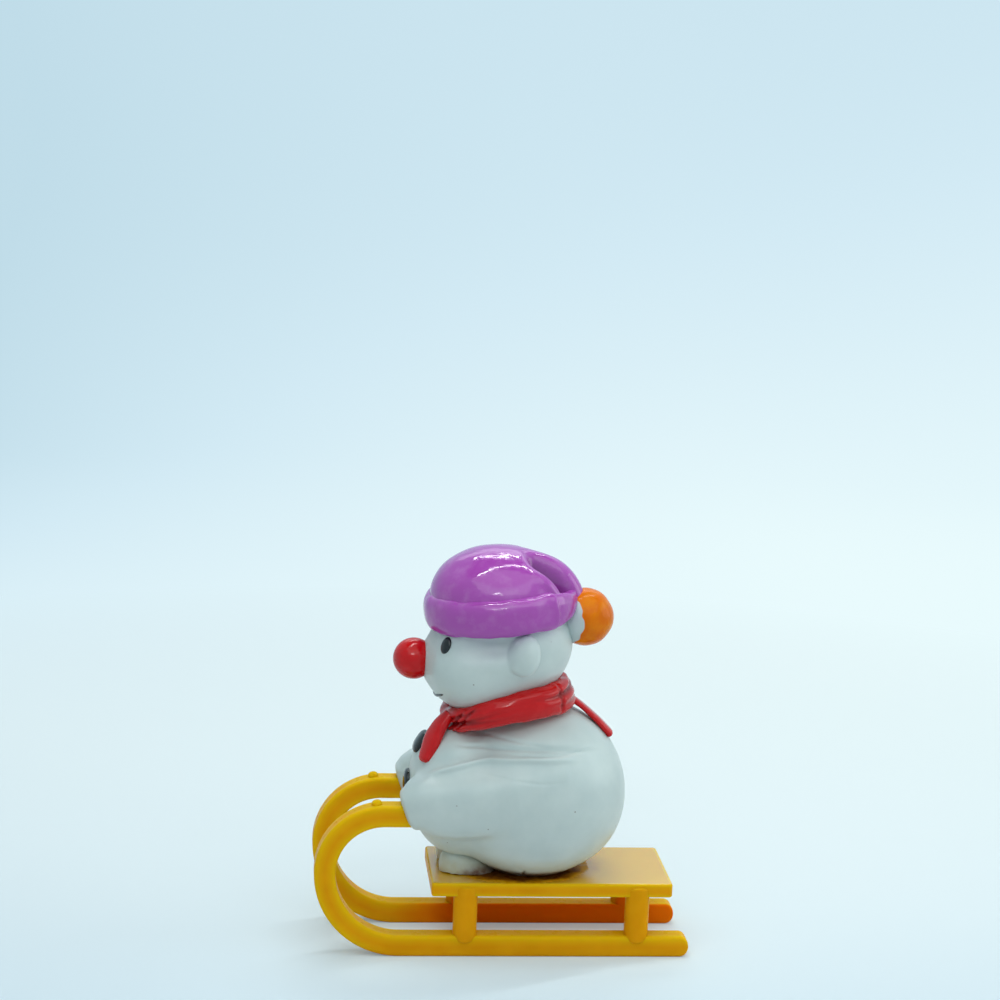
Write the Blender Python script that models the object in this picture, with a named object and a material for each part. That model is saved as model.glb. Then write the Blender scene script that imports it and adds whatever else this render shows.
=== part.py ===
"""Toy snow sled with a snowman seated on it, built from its separate pieces.

The sled is a plate deck on four round posts, which stand on two square bars.
Each bar runs along the ground, loops up at the front and comes back as a horn.
The snowman sits on the deck, and each hand is a socket that holds a horn's tip.

The frame is metres with +Z up. The floor is z = 0, the sled's front looks to -X,
and the origin is on the floor at the middle of the sled's length and width.
"""

from math import cos, pi, radians, sin, sqrt

import bmesh
import bpy
from mathutils import Matrix, Vector

# Clearances
SEAT_GAP = 0.0001  # between two pieces that rest on each other
GRIP_GAP = 0.0001  # round a horn's tip in its hand
OVERRUN = 0.002  # how far a cutter goes past the wall that it cuts

# Sled bars
SLED_LENGTH = 0.0565
SLED_WIDTH = 0.0170
BAR_SIZE = 0.0032
BAR_EDGE_ROUND = 0.0004
BAR_END_ROUND = 0.0013
LOOP_LOWER_RADIUS = 0.0113  # of the bar's middle line
LOOP_UPPER_RADIUS = 0.00875
HORN_LENGTH = 0.0056  # straight stretch behind the loop

# Deck
DECK_FRONT_SETBACK = 0.0175  # from the loops' front faces
DECK_REAR_SETBACK = 0.0028  # from the bars' rear ends
DECK_THICKNESS = 0.0021
DECK_TOP_HEIGHT = 0.0115
DECK_EDGE_ROUND = 0.00025

# Posts
POST_DIAMETER = 0.0036
POST_EDGE_ROUND = 0.0003
POST_DECK_DEPTH = 0.0015  # how far a post's head goes up into the deck
TENON_DIAMETER = 0.0018
TENON_LENGTH = 0.0014
FRONT_POST_INSET = 0.0052  # from the deck's front end
REAR_POST_INSET = 0.0051  # from the deck's rear end

# Snowman's trunk: a belly with a chest leaning out of it, as two egg shapes
BELLY_SETBACK = 0.01685  # belly's middle behind the horns' tips
BELLY_SEAT_DEPTH = 0.0022  # how much of the belly's foot its flat seat takes off
BELLY_LENGTH = 0.0282
BELLY_WIDTH = 0.0260
BELLY_HEIGHT = 0.0282
CHEST_FORWARD = 0.0078  # from the belly's middle
CHEST_RISE = 0.0008
CHEST_LENGTH = 0.0240
CHEST_WIDTH = 0.0210
CHEST_HEIGHT = 0.0212

# Head: a cranium and a jaw, as two egg shapes
HEAD_FORWARD = 0.0055  # from the belly's middle
HEAD_LIFT = 0.0091  # cranium's middle above the belly's top
CRANIUM_LENGTH = 0.0212
CRANIUM_WIDTH = 0.0196
CRANIUM_HEIGHT = 0.0190
JAW_FORWARD = 0.0030  # from the cranium's middle
JAW_DROP = 0.0040
JAW_LENGTH = 0.0170
JAW_WIDTH = 0.0176
JAW_HEIGHT = 0.0140

# Face and ears
NOSE_DIAMETER = 0.0062
NOSE_PROUD = 0.0050  # tip ahead of the face
NOSE_DROP = 0.0010  # below the head's middle
EYE_LENGTH = 0.0022
EYE_HEIGHT = 0.0020
EYE_PROUD = 0.0004
EAR_LENGTH = 0.0048
EAR_HEIGHT = 0.0060
EAR_PROUD = 0.0018

# Hat
CUFF_LENGTH = 0.0240
CUFF_WIDTH = 0.0226
CUFF_HEIGHT = 0.0052
CUFF_THICKNESS = 0.0034
CUFF_RISE = 0.0050  # cuff's middle above the cranium's middle
CROWN_LENGTH = 0.0206
CROWN_WIDTH = 0.0200
CROWN_HEIGHT = 0.0152
CROWN_FORWARD = 0.0006
CROWN_RISE = 0.0068
TAIL_DIAMETER = 0.0074
TAIL_TIP_DIAMETER = 0.0050
POMPOM_DIAMETER = 0.0090
POMPOM_SETBACK = 0.0122  # from the cranium's middle
POMPOM_RISE = 0.0038

# Scarf
SCARF_LENGTH = 0.0200
SCARF_WIDTH = 0.0196
SCARF_HEIGHT = 0.0042
SCARF_THICKNESS = 0.0040
SCARF_SIDE_RISE = 0.0014  # how much higher the band lies on the shoulders
SCARF_DROP = 0.0098  # scarf's middle below the cranium's middle
SCARF_SETBACK = 0.0015
SCARF_END_WIDTH = 0.0034
SCARF_END_THICKNESS = 0.0016

# Buttons
BUTTON_DIAMETER = 0.0034
BUTTON_PROUD = 0.0007

# Arms, hands and feet
HAND_GRIP = 0.0030  # how far a horn's tip goes into its hand
HAND_WIDTH = 0.0056
HAND_HEIGHT = 0.0056
ARM_WIDTH = 0.0104
ARM_HEIGHT = 0.0140
ARM_PROUD = 0.0011  # how far the arm stands out beside the belly
SHOULDER_SETBACK = 0.00315  # arm's rear end behind the belly's middle
SHOULDER_RISE = 0.00275  # and above it
FOOT_LENGTH = 0.0088
FOOT_WIDTH = 0.0048
FOOT_HEIGHT = 0.0080
FOOT_SINK = 0.0005  # how far the egg's middle lies under its flat sole
FOOT_SPACING = 0.0056  # between the feet's middles
FOOT_PROUD = 0.00376  # how far the toe stands ahead of the trunk, at half the foot's height

# Angles in degrees. A bearing is 0 at the front and grows towards the snowman's left, which is -Y.
HAT_TILT = 4.4  # front edge down
SCARF_TILT = 14.0
EYE_BEARING = 39.0
EYE_CLIMB = 15.0
EAR_BEARING = 118.0
EAR_CLIMB = 13.0
BUTTON_CLIMBS = (29.0, 1.0)
FRONT_END_BEARINGS = (19.0, 22.0)
FRONT_END_CLIMBS = (52.0, 17.0)
BACK_END_BEARINGS = (180.0, 178.0)
BACK_END_CLIMBS = (58.0, 25.0)

# Shares: how far each station of a limb goes along it, and its girth there
ARM_STATION_SHARES = (
    (0.0, 0.60),
    (0.03, 0.84),
    (0.10, 1.0),
    (0.3, 1.0),
    (0.5, 1.0),
    (0.7, 0.92),
    (0.86, 0.72),
    (0.96, 0.44),
    (1.0, 0.2),
)
STRAP_STATION_SHARES = (
    (0.0, 0.45),
    (0.06, 0.7),
    (0.25, 0.9),
    (0.55, 1.0),
    (0.8, 0.95),
    (0.94, 0.65),
    (1.0, 0.3),
)
TAIL_STATION_SHARES = (
    (0.0, 0.45),
    (0.10, 0.8),
    (0.25, 1.0),
    (0.5, 1.0),
    (0.75, 0.95),
    (1.0, 0.8),
)

# Mesh fineness, with angles in degrees
SHARP_ANGLE = 40.0  # faces that meet at less than this are shaded as one
BEVEL_ANGLE = 60.0  # edges sharper than this are rounded
FORM_SEGMENTS = 32
FORM_RINGS = 16
SMALL_SEGMENTS = 14
SMALL_RINGS = 8
ROUND_SEGMENTS = 18
ARC_STEPS = 10
BLEND_POWER = 24  # how tightly two egg shapes melt together

# Places that follow from the sizes
BAR_MIDDLE_Y = (SLED_WIDTH - BAR_SIZE) / 2
LOOP_FRONT_X = (BAR_SIZE - SLED_LENGTH) / 2
LOOP_MIDDLE_Z = BAR_SIZE / 2 + LOOP_LOWER_RADIUS
HORN_START_X = LOOP_FRONT_X + LOOP_UPPER_RADIUS
HORN_TIP_X = HORN_START_X + HORN_LENGTH
HORN_MIDDLE_Z = LOOP_MIDDLE_Z + LOOP_UPPER_RADIUS
DECK_FRONT_X = DECK_FRONT_SETBACK - SLED_LENGTH / 2
DECK_REAR_X = SLED_LENGTH / 2 - DECK_REAR_SETBACK
DECK_BOTTOM_HEIGHT = DECK_TOP_HEIGHT - DECK_THICKNESS
POST_PLACES = (
    ("front", DECK_FRONT_X + FRONT_POST_INSET),
    ("rear", DECK_REAR_X - REAR_POST_INSET),
)
SIDES = (("left", -1), ("right", 1))
SEAT_HEIGHT = DECK_TOP_HEIGHT + SEAT_GAP
BELLY_MIDDLE_Z = SEAT_HEIGHT + BELLY_HEIGHT / 2 - BELLY_SEAT_DEPTH
BELLY_MIDDLE = Vector((HORN_TIP_X + BELLY_SETBACK, 0, BELLY_MIDDLE_Z))
CHEST_MIDDLE = BELLY_MIDDLE + Vector((-CHEST_FORWARD, 0, CHEST_RISE))
CRANIUM_MIDDLE = BELLY_MIDDLE + Vector((-HEAD_FORWARD, 0, BELLY_HEIGHT / 2 + HEAD_LIFT))
JAW_MIDDLE = CRANIUM_MIDDLE + Vector((-JAW_FORWARD, 0, -JAW_DROP))
CUFF_MIDDLE = CRANIUM_MIDDLE + Vector((0, 0, CUFF_RISE))
CROWN_MIDDLE = CRANIUM_MIDDLE + Vector((-CROWN_FORWARD, 0, CROWN_RISE))
POMPOM_MIDDLE = CRANIUM_MIDDLE + Vector((POMPOM_SETBACK, 0, POMPOM_RISE))
SCARF_MIDDLE = CRANIUM_MIDDLE + Vector((SCARF_SETBACK, 0, -SCARF_DROP))


def clear_scene():
    """Removes whatever the scene opened with."""
    for old in list(bpy.data.objects):
        bpy.data.objects.remove(old)


def plastic(name, colour, roughness=0.35):
    """A plain moulded or painted plastic."""
    made = bpy.data.materials.new(name)
    made.use_nodes = True
    shader = made.node_tree.nodes["Principled BSDF"]
    shader.inputs["Base Color"].default_value = (*colour, 1.0)
    shader.inputs["Roughness"].default_value = roughness
    shader.inputs["Metallic"].default_value = 0.0
    return made


def object_from(name, mesh, material):
    """Puts a mesh in the scene under its node's name, shaded smooth with its hard edges kept."""
    made = bpy.data.objects.new(name, mesh)
    bpy.context.scene.collection.objects.link(made)
    if material:
        mesh.materials.append(material)
    mesh.shade_smooth()
    mesh.set_sharp_from_angle(angle=radians(SHARP_ANGLE))
    return made


def skin(name, rings, material=None, closed=False):
    """A tube of faces over rings of points. It is capped at both ends, or joined end to end if closed."""
    count, around = len(rings), len(rings[0])
    points = [tuple(point) for ring in rings for point in ring]
    faces = []
    for i in range(count if closed else count - 1):
        j = (i + 1) % count
        for k in range(around):
            m = (k + 1) % around
            faces.append((i * around + k, i * around + m, j * around + m, j * around + k))
    if not closed:
        faces.append(tuple(reversed(range(around))))
        faces.append(tuple(range((count - 1) * around, count * around)))
    mesh = bpy.data.meshes.new(name)
    mesh.from_pydata(points, [], faces)
    tidy = bmesh.new()
    tidy.from_mesh(mesh)
    bmesh.ops.recalc_face_normals(tidy, faces=tidy.faces)
    tidy.to_mesh(mesh)
    tidy.free()
    return object_from(name, mesh, material)


def use_as_cutter(piece):
    """Keeps a helper out of the model."""
    piece.hide_render = True
    piece.display_type = "WIRE"
    return piece


def cut(piece, *cutters):
    """Takes each cutter's shape out of the piece."""
    for cutter in cutters:
        made = piece.modifiers.new("cut_" + cutter.name, "BOOLEAN")
        made.operation = "DIFFERENCE"
        made.solver = "EXACT"
        made.object = cutter
    return piece


def direction(bearing, climb):
    """Unit vector at a bearing from the front and a climb above the horizon, both in degrees."""
    b, c = radians(bearing), radians(climb)
    return Vector((-cos(b) * cos(c), -sin(b) * cos(c), sin(c)))


def egg(middle, length, width, height):
    """An egg shape as its middle and its half sizes along X, Y and Z."""
    return middle, (length / 2, width / 2, height / 2)


TRUNK = (
    egg(BELLY_MIDDLE, BELLY_LENGTH, BELLY_WIDTH, BELLY_HEIGHT),
    egg(CHEST_MIDDLE, CHEST_LENGTH, CHEST_WIDTH, CHEST_HEIGHT),
)
HEAD = (
    egg(CRANIUM_MIDDLE, CRANIUM_LENGTH, CRANIUM_WIDTH, CRANIUM_HEIGHT),
    egg(JAW_MIDDLE, JAW_LENGTH, JAW_WIDTH, JAW_HEIGHT),
)
CROWN = (egg(CROWN_MIDDLE, CROWN_LENGTH, CROWN_WIDTH, CROWN_HEIGHT),)


def form_middle(form):
    """The point that a form is seen from: the mean of its eggs' middles."""
    return sum((middle for middle, _ in form), Vector()) / len(form)


def reach(form, way, grow=0.0):
    """Distance from the form's middle to its skin along a unit vector.

    A ray leaves each egg at the larger root of a quadratic, and the power mean
    of those distances melts the eggs together.
    """
    start = form_middle(form)
    total = 0.0
    for middle, half in form:
        sizes = [size + grow for size in half]
        a = sum((way[i] / sizes[i]) ** 2 for i in range(3))
        b = sum(way[i] * (start[i] - middle[i]) / sizes[i] ** 2 for i in range(3))
        c = sum(((start[i] - middle[i]) / sizes[i]) ** 2 for i in range(3)) - 1
        root = b * b - a * c
        if root > 0:
            total += max((sqrt(root) - b) / a / BELLY_LENGTH, 0.0) ** BLEND_POWER
    return total ** (1 / BLEND_POWER) * BELLY_LENGTH


def on_skin(form, bearing, climb):
    """Point on a form's skin in a direction from its middle, and the outward normal there."""

    def point(b, c):
        way = direction(b, c)
        return form_middle(form) + way * reach(form, way)

    step = 1.0
    here = point(bearing, climb)
    across = point(bearing + step, climb) - point(bearing - step, climb)
    upward = point(bearing, climb + step) - point(bearing, climb - step)
    normal = across.cross(upward).normalized()
    return here, normal if normal.dot(here - form_middle(form)) > 0 else -normal


def front_at(form, height):
    """X of a form's foremost point at a height, from each egg's outline in side view."""
    fronts = []
    for middle, half in form:
        level = (height - middle.z) / half[2]
        if abs(level) < 1:
            fronts.append(middle.x - half[0] * sqrt(1 - level**2))
    return min(fronts)


def form_rings(form, grow=0.0):
    """Rings of skin points from the form's foot to its head, small at both ends."""
    rings = []
    for i in range(1, FORM_RINGS):
        climb = -90 + 180 * i / FORM_RINGS
        ways = [direction(360 * k / FORM_SEGMENTS, climb) for k in range(FORM_SEGMENTS)]
        rings.append([form_middle(form) + way * reach(form, way, grow) for way in ways])
    return rings


def form_object(name, form, material=None, grow=0.0):
    """A closed solid of a form, or of the form grown all over."""
    return skin(name, form_rings(form, grow), material)


def keep_above(piece, point, normal=(0, 0, 1)):
    """Cuts a solid flat along a plane and keeps the side that the normal points to."""
    shape = bmesh.new()
    shape.from_mesh(piece.data)
    found = bmesh.ops.bisect_plane(
        shape,
        geom=shape.verts[:] + shape.edges[:] + shape.faces[:],
        plane_co=point,
        plane_no=normal,
        clear_inner=True,
    )
    rim = [item for item in found["geom_cut"] if isinstance(item, bmesh.types.BMEdge)]
    bmesh.ops.contextual_create(shape, geom=rim)
    bmesh.ops.recalc_face_normals(shape, faces=shape.faces)
    shape.to_mesh(piece.data)
    shape.free()
    piece.data.shade_smooth()
    piece.data.set_sharp_from_angle(angle=radians(SHARP_ANGLE))
    return piece


def boss(name, point, normal, along, length, width, depth, material=None, grow=0.0):
    """An egg standing on a skin: length runs along a vector, width across it, depth along the normal."""
    side = Vector(normal).cross(Vector(along)).normalized()
    ahead = side.cross(Vector(normal)).normalized()
    turn = Matrix((ahead, side, Vector(normal))).transposed().to_4x4()
    sizes = Matrix.Diagonal((length / 2 + grow, width / 2 + grow, depth / 2 + grow, 1.0))
    shape = bmesh.new()
    bmesh.ops.create_uvsphere(shape, u_segments=SMALL_SEGMENTS, v_segments=SMALL_RINGS, radius=1.0)
    bmesh.ops.transform(shape, matrix=Matrix.Translation(point) @ turn @ sizes, verts=shape.verts)
    mesh = bpy.data.meshes.new(name)
    shape.to_mesh(mesh)
    shape.free()
    return object_from(name, mesh, material)


def band(name, middle, length, width, height, thickness, tilt, side_rise, material=None, grow=0.0):
    """An oval ring with an egg section. Its front is tipped down by tilt degrees, its sides are raised."""
    turn = Matrix.Rotation(radians(-tilt), 3, "Y")
    rings = []
    for i in range(FORM_SEGMENTS):
        angle = 2 * pi * i / FORM_SEGMENTS
        outward = Vector((cos(angle), sin(angle), 0))
        centre = Vector(((length - thickness) / 2 * cos(angle), (width - thickness) / 2 * sin(angle), 0))
        centre.z = side_rise * sin(angle) ** 2
        ring = []
        for k in range(SMALL_SEGMENTS):
            around = 2 * pi * k / SMALL_SEGMENTS
            offset = outward * (thickness / 2 + grow) * cos(around)
            offset.z = (height / 2 + grow) * sin(around)
            ring.append(middle + turn @ (centre + offset))
        rings.append(ring)
    return skin(name, rings, material, closed=True)


def limb(name, points, widths, heights, material=None, grow=0.0):
    """A tube of egg sections along points: widths run along Y, heights square to Y and the path."""
    rings = []
    for i, point in enumerate(points):
        before = points[max(i - 1, 0)]
        after = points[min(i + 1, len(points) - 1)]
        ahead = (after - before).normalized()
        across = Vector((0, 1, 0))
        upward = ahead.cross(across).normalized()
        shift = ahead * (grow if i == len(points) - 1 else -grow if i == 0 else 0)
        sideways = across * (widths[i] / 2 + grow)
        lift = upward * (heights[i] / 2 + grow)
        ring = []
        for k in range(SMALL_SEGMENTS):
            angle = 2 * pi * k / SMALL_SEGMENTS
            ring.append(point + shift + sideways * cos(angle) + lift * sin(angle))
        rings.append(ring)
    return skin(name, rings, material)


def strap(name, form, bearings, climbs, width, thickness, material=None, grow=0.0):
    """A flat tongue lying on a form's skin, from one direction to another."""
    rings = []
    path = []
    for share, girth in STRAP_STATION_SHARES:
        bearing = bearings[0] + (bearings[1] - bearings[0]) * share
        climb = climbs[0] + (climbs[1] - climbs[0]) * share
        point, normal = on_skin(form, bearing, climb)
        path.append((point + normal * thickness / 4, normal, girth))
    for i, (point, normal, girth) in enumerate(path):
        ahead = path[min(i + 1, len(path) - 1)][0] - path[max(i - 1, 0)][0]
        side = normal.cross(ahead).normalized()
        ring = []
        for k in range(SMALL_SEGMENTS):
            angle = 2 * pi * k / SMALL_SEGMENTS
            reach_side = side * (width / 2 * girth + grow) * cos(angle)
            ring.append(point + reach_side + normal * (thickness / 2 * girth + grow) * sin(angle))
        rings.append(ring)
    return skin(name, rings, material)


def arc(middle, radius, start, end):
    """Points (x, z) on an arc, with angles in degrees from +X towards +Z, both ends included."""
    angles = [radians(start + (end - start) * i / ARC_STEPS) for i in range(ARC_STEPS + 1)]
    return [(middle[0] + radius * cos(a), middle[1] + radius * sin(a)) for a in angles]


def corner(middle, radius, start):
    """Points on a quarter round corner, going clockwise."""
    steps = ARC_STEPS // 3
    angles = [radians(start - 90 * i / steps) for i in range(steps + 1)]
    return [(middle[0] + radius * cos(a), middle[1] + radius * sin(a)) for a in angles]


def bar_outline(grow=0.0):
    """A sled bar's side view, clockwise: floor line, loop and horn outside, then back along the inside."""
    half = BAR_SIZE / 2 + grow
    lower = (LOOP_FRONT_X + LOOP_LOWER_RADIUS, LOOP_MIDDLE_Z)
    upper = (HORN_START_X, LOOP_MIDDLE_Z)
    round_end = BAR_END_ROUND
    rear_x = SLED_LENGTH / 2 + grow
    tip_x = HORN_TIP_X + grow
    outside = arc(lower, LOOP_LOWER_RADIUS + half, 270, 180)
    outside += arc(upper, LOOP_UPPER_RADIUS + half, 180, 90)[1:]
    tip = corner((tip_x - round_end, HORN_MIDDLE_Z + half - round_end), round_end, 90)
    tip += corner((tip_x - round_end, HORN_MIDDLE_Z - half + round_end), round_end, 0)
    inside = arc(upper, LOOP_UPPER_RADIUS - half, 90, 180)
    inside += arc(lower, LOOP_LOWER_RADIUS - half, 180, 270)[1:]
    rear = corner((rear_x - round_end, BAR_SIZE / 2 + half - round_end), round_end, 90)
    rear += corner((rear_x - round_end, BAR_SIZE / 2 - half + round_end), round_end, 0)
    return outside + tip + inside + rear


def sled_bar(name, side, material=None, grow=0.0):
    """One ground bar with its loop and horn, extruded from its side view."""
    shape = bmesh.new()
    near = side * BAR_MIDDLE_Y - BAR_SIZE / 2 - grow
    corners = [shape.verts.new((x, near, z)) for x, z in bar_outline(grow)]
    face = shape.faces.new(corners)
    pushed = bmesh.ops.extrude_face_region(shape, geom=[face])
    moved = [item for item in pushed["geom"] if isinstance(item, bmesh.types.BMVert)]
    bmesh.ops.translate(shape, verts=moved, vec=(0, BAR_SIZE + 2 * grow, 0))
    bmesh.ops.recalc_face_normals(shape, faces=shape.faces)
    mesh = bpy.data.meshes.new(name)
    shape.to_mesh(mesh)
    shape.free()
    made = object_from(name, mesh, material)
    if not grow:
        rounding = made.modifiers.new("edge_round", "BEVEL")
        rounding.width = BAR_EDGE_ROUND
        rounding.segments = 2
        rounding.limit_method = "ANGLE"
        rounding.angle_limit = radians(BEVEL_ANGLE)
    return made


def turned(name, profile, place, material=None):
    """A piece turned about an upright axis, from (radius, height) points listed from its foot up."""
    rings = []
    for radius, height in profile:
        angles = [2 * pi * k / ROUND_SEGMENTS for k in range(ROUND_SEGMENTS)]
        rings.append([Vector((radius * cos(a), radius * sin(a), height)) for a in angles])
    made = skin(name, rings, material)
    made.location = place
    return made


def post_profile(grow=0.0):
    """Tenon, shoulder and head of a post, in heights above the floor."""
    tenon = TENON_DIAMETER / 2 + grow
    body = POST_DIAMETER / 2 + grow
    foot = BAR_SIZE + SEAT_GAP - grow
    head = DECK_BOTTOM_HEIGHT + POST_DECK_DEPTH + grow
    return (
        (tenon, BAR_SIZE - TENON_LENGTH - grow),
        (tenon, foot),
        (body, foot),
        (body, head - POST_EDGE_ROUND),
        (body - POST_EDGE_ROUND, head),
    )


def box(name, low, high):
    """A plain box between two corners."""
    shape = bmesh.new()
    bmesh.ops.create_cube(shape, size=1.0)
    low, high = Vector(low), Vector(high)
    sizes = Matrix.Diagonal((*(high - low), 1.0))
    bmesh.ops.transform(shape, matrix=Matrix.Translation((low + high) / 2) @ sizes, verts=shape.verts)
    mesh = bpy.data.meshes.new(name)
    shape.to_mesh(mesh)
    shape.free()
    return object_from(name, mesh, None)


def build_sled(yellow):
    """Deck, four posts and two bars."""
    deck = box(
        "deck",
        (DECK_FRONT_X, -SLED_WIDTH / 2, DECK_BOTTOM_HEIGHT),
        (DECK_REAR_X, SLED_WIDTH / 2, DECK_TOP_HEIGHT),
    )
    deck.data.materials.append(yellow)
    rounding = deck.modifiers.new("edge_round", "BEVEL")
    rounding.width = DECK_EDGE_ROUND
    rounding.segments = 2
    for side_name, side in SIDES:
        bar = sled_bar(f"runner_{side_name}", side, yellow)
        for end_name, x in POST_PLACES:
            place = Vector((x, side * BAR_MIDDLE_Y, 0))
            turned(f"post_{end_name}_{side_name}", post_profile(), place, yellow)
            hollow = turned(f"post_hollow_{end_name}_{side_name}", post_profile(SEAT_GAP), place)
            cut(deck, use_as_cutter(hollow))
            cut(bar, hollow)


def build_trunk(white, black):
    """Trunk with a flat seat, and its two buttons."""
    trunk = form_object("trunk", TRUNK, white)
    keep_above(trunk, (0, 0, SEAT_HEIGHT))
    grown = use_as_cutter(form_object("trunk_grown", TRUNK, grow=SEAT_GAP))
    for number, climb in enumerate(BUTTON_CLIMBS, start=1):
        point, normal = on_skin(TRUNK, 0, climb)
        button = boss(
            f"button_{number}",
            point,
            normal,
            (0, 1, 0),
            BUTTON_DIAMETER,
            BUTTON_DIAMETER,
            2 * BUTTON_PROUD,
            black,
        )
        cut(button, grown)
    return grown


def build_head(white, black, red, trunk_grown):
    """Head, nose, eyes and ears."""
    head = form_object("head", HEAD, white)
    cut(head, trunk_grown)
    grown = use_as_cutter(form_object("head_grown", HEAD, grow=SEAT_GAP))
    point, _ = on_skin(HEAD, 0, 0)
    nose_middle = point + Vector((NOSE_DIAMETER / 2 - NOSE_PROUD, 0, -NOSE_DROP))
    cut(boss("nose", nose_middle, (-1, 0, 0), (0, 1, 0), *[NOSE_DIAMETER] * 3, red), grown)
    eye_sizes = (EYE_HEIGHT, EYE_LENGTH, 2 * EYE_PROUD)
    ear_sizes = (EAR_HEIGHT, EAR_LENGTH, 2 * EAR_PROUD)
    for side_name, side in (("left", 1), ("right", -1)):
        point, normal = on_skin(HEAD, side * EYE_BEARING, EYE_CLIMB)
        cut(boss(f"eye_{side_name}", point, normal, (0, 0, 1), *eye_sizes, black), grown)
        point, normal = on_skin(HEAD, side * EAR_BEARING, EAR_CLIMB)
        cut(boss(f"ear_{side_name}", point, normal, (0, 0, 1), *ear_sizes, white), grown)
    return grown


def tail_path():
    """Middle line of the hat's hanging tip, from the crown's top over the back to the pompom."""
    top = CROWN_MIDDLE + Vector((CROWN_LENGTH / 8, 0, (CROWN_HEIGHT - TAIL_DIAMETER) / 2))
    bend = CROWN_MIDDLE + Vector((CROWN_LENGTH / 2, 0, (CROWN_HEIGHT - TAIL_DIAMETER) / 2))
    end = POMPOM_MIDDLE + Vector((-POMPOM_DIAMETER / 4, 0, POMPOM_DIAMETER / 8))
    points = []
    for share, _ in TAIL_STATION_SHARES:
        first = top.lerp(bend, share)
        second = bend.lerp(end, share)
        points.append(first.lerp(second, share))
    return points


def tail_girths():
    """Diameters of the hanging tip at the stations of its path."""
    return [
        (TAIL_DIAMETER + (TAIL_TIP_DIAMETER - TAIL_DIAMETER) * share) * girth
        for share, girth in TAIL_STATION_SHARES
    ]


def build_hat(purple, orange, head_grown):
    """Crown, turned up cuff, hanging tip and pompom."""
    cuff_sizes = (CUFF_LENGTH, CUFF_WIDTH, CUFF_HEIGHT, CUFF_THICKNESS, HAT_TILT, 0)
    crown = form_object("hat_crown", CROWN, purple)
    tilt = Matrix.Rotation(radians(-HAT_TILT), 3, "Y")
    keep_above(crown, CUFF_MIDDLE, tilt @ Vector((0, 0, 1)))
    cut(crown, head_grown)
    crown_grown = use_as_cutter(form_object("crown_grown", CROWN, grow=SEAT_GAP))
    cuff = band("hat_cuff", CUFF_MIDDLE, *cuff_sizes, purple)
    cut(cuff, head_grown, crown_grown)
    cuff_grown = use_as_cutter(band("cuff_grown", CUFF_MIDDLE, *cuff_sizes, grow=SEAT_GAP))
    girths = tail_girths()
    tail = limb("hat_tip", tail_path(), girths, girths, purple)
    cut(tail, crown_grown, cuff_grown)
    tail_grown = use_as_cutter(limb("tip_grown", tail_path(), girths, girths, grow=SEAT_GAP))
    pompom = boss("pompom", POMPOM_MIDDLE, (1, 0, 0), (0, 1, 0), *[POMPOM_DIAMETER] * 3, orange)
    cut(pompom, tail_grown, cuff_grown, crown_grown, head_grown)
    for side_name in ("left", "right"):
        cut(bpy.data.objects[f"ear_{side_name}"], cuff_grown)
    return cuff_grown


def build_scarf(red, trunk_grown, head_grown):
    """Neck band and its two hanging ends."""
    sizes = (SCARF_LENGTH, SCARF_WIDTH, SCARF_HEIGHT, SCARF_THICKNESS, SCARF_TILT, SCARF_SIDE_RISE)
    neck = band("scarf_band", SCARF_MIDDLE, *sizes, red)
    cut(neck, trunk_grown, head_grown)
    neck_grown = use_as_cutter(band("scarf_grown", SCARF_MIDDLE, *sizes, grow=SEAT_GAP))
    ends = (
        ("scarf_front_end", FRONT_END_BEARINGS, FRONT_END_CLIMBS),
        ("scarf_back_end", BACK_END_BEARINGS, BACK_END_CLIMBS),
    )
    for name, bearings, climbs in ends:
        end = strap(name, TRUNK, bearings, climbs, SCARF_END_WIDTH, SCARF_END_THICKNESS, red)
        cut(end, trunk_grown, neck_grown, head_grown)
    front = ends[0]
    front_grown = strap(
        "front_end_grown", TRUNK, front[1], front[2], SCARF_END_WIDTH, SCARF_END_THICKNESS, grow=SEAT_GAP
    )
    cut(bpy.data.objects["button_1"], use_as_cutter(front_grown))


def arm_stations(side):
    """Middles, widths and heights of an arm's sections, from the hand back to the shoulder."""
    hand = Vector((HORN_TIP_X - HAND_GRIP, side * BAR_MIDDLE_Y, HORN_MIDDLE_Z))
    shoulder_y = side * (BELLY_WIDTH / 2 + ARM_PROUD - ARM_WIDTH / 2)
    shoulder = BELLY_MIDDLE + Vector((SHOULDER_SETBACK, shoulder_y, SHOULDER_RISE))
    points, widths, heights = [], [], []
    for share, girth in ARM_STATION_SHARES:
        ease = sin(share * pi / 2)
        points.append(hand.lerp(shoulder, share))
        widths.append((HAND_WIDTH + (ARM_WIDTH - HAND_WIDTH) * ease) * girth)
        heights.append((HAND_HEIGHT + (ARM_HEIGHT - HAND_HEIGHT) * ease) * girth)
    return points, widths, heights


def build_arms(white, trunk_grown):
    """Two arms, each with a square socket in its hand for a horn's tip, which reaches the trunk."""
    for side_name, side in SIDES:
        arm = limb(f"arm_{side_name}", *arm_stations(side), white)
        half = BAR_SIZE / 2 + GRIP_GAP
        y = side * BAR_MIDDLE_Y
        socket = box(
            f"socket_{side_name}",
            (HORN_TIP_X - HAND_GRIP - OVERRUN, y - half, HORN_MIDDLE_Z - half),
            (HORN_TIP_X + GRIP_GAP, y + half, HORN_MIDDLE_Z + half),
        )
        cut(arm, trunk_grown, use_as_cutter(socket))
        cut(bpy.data.objects["trunk"], socket)


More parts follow.
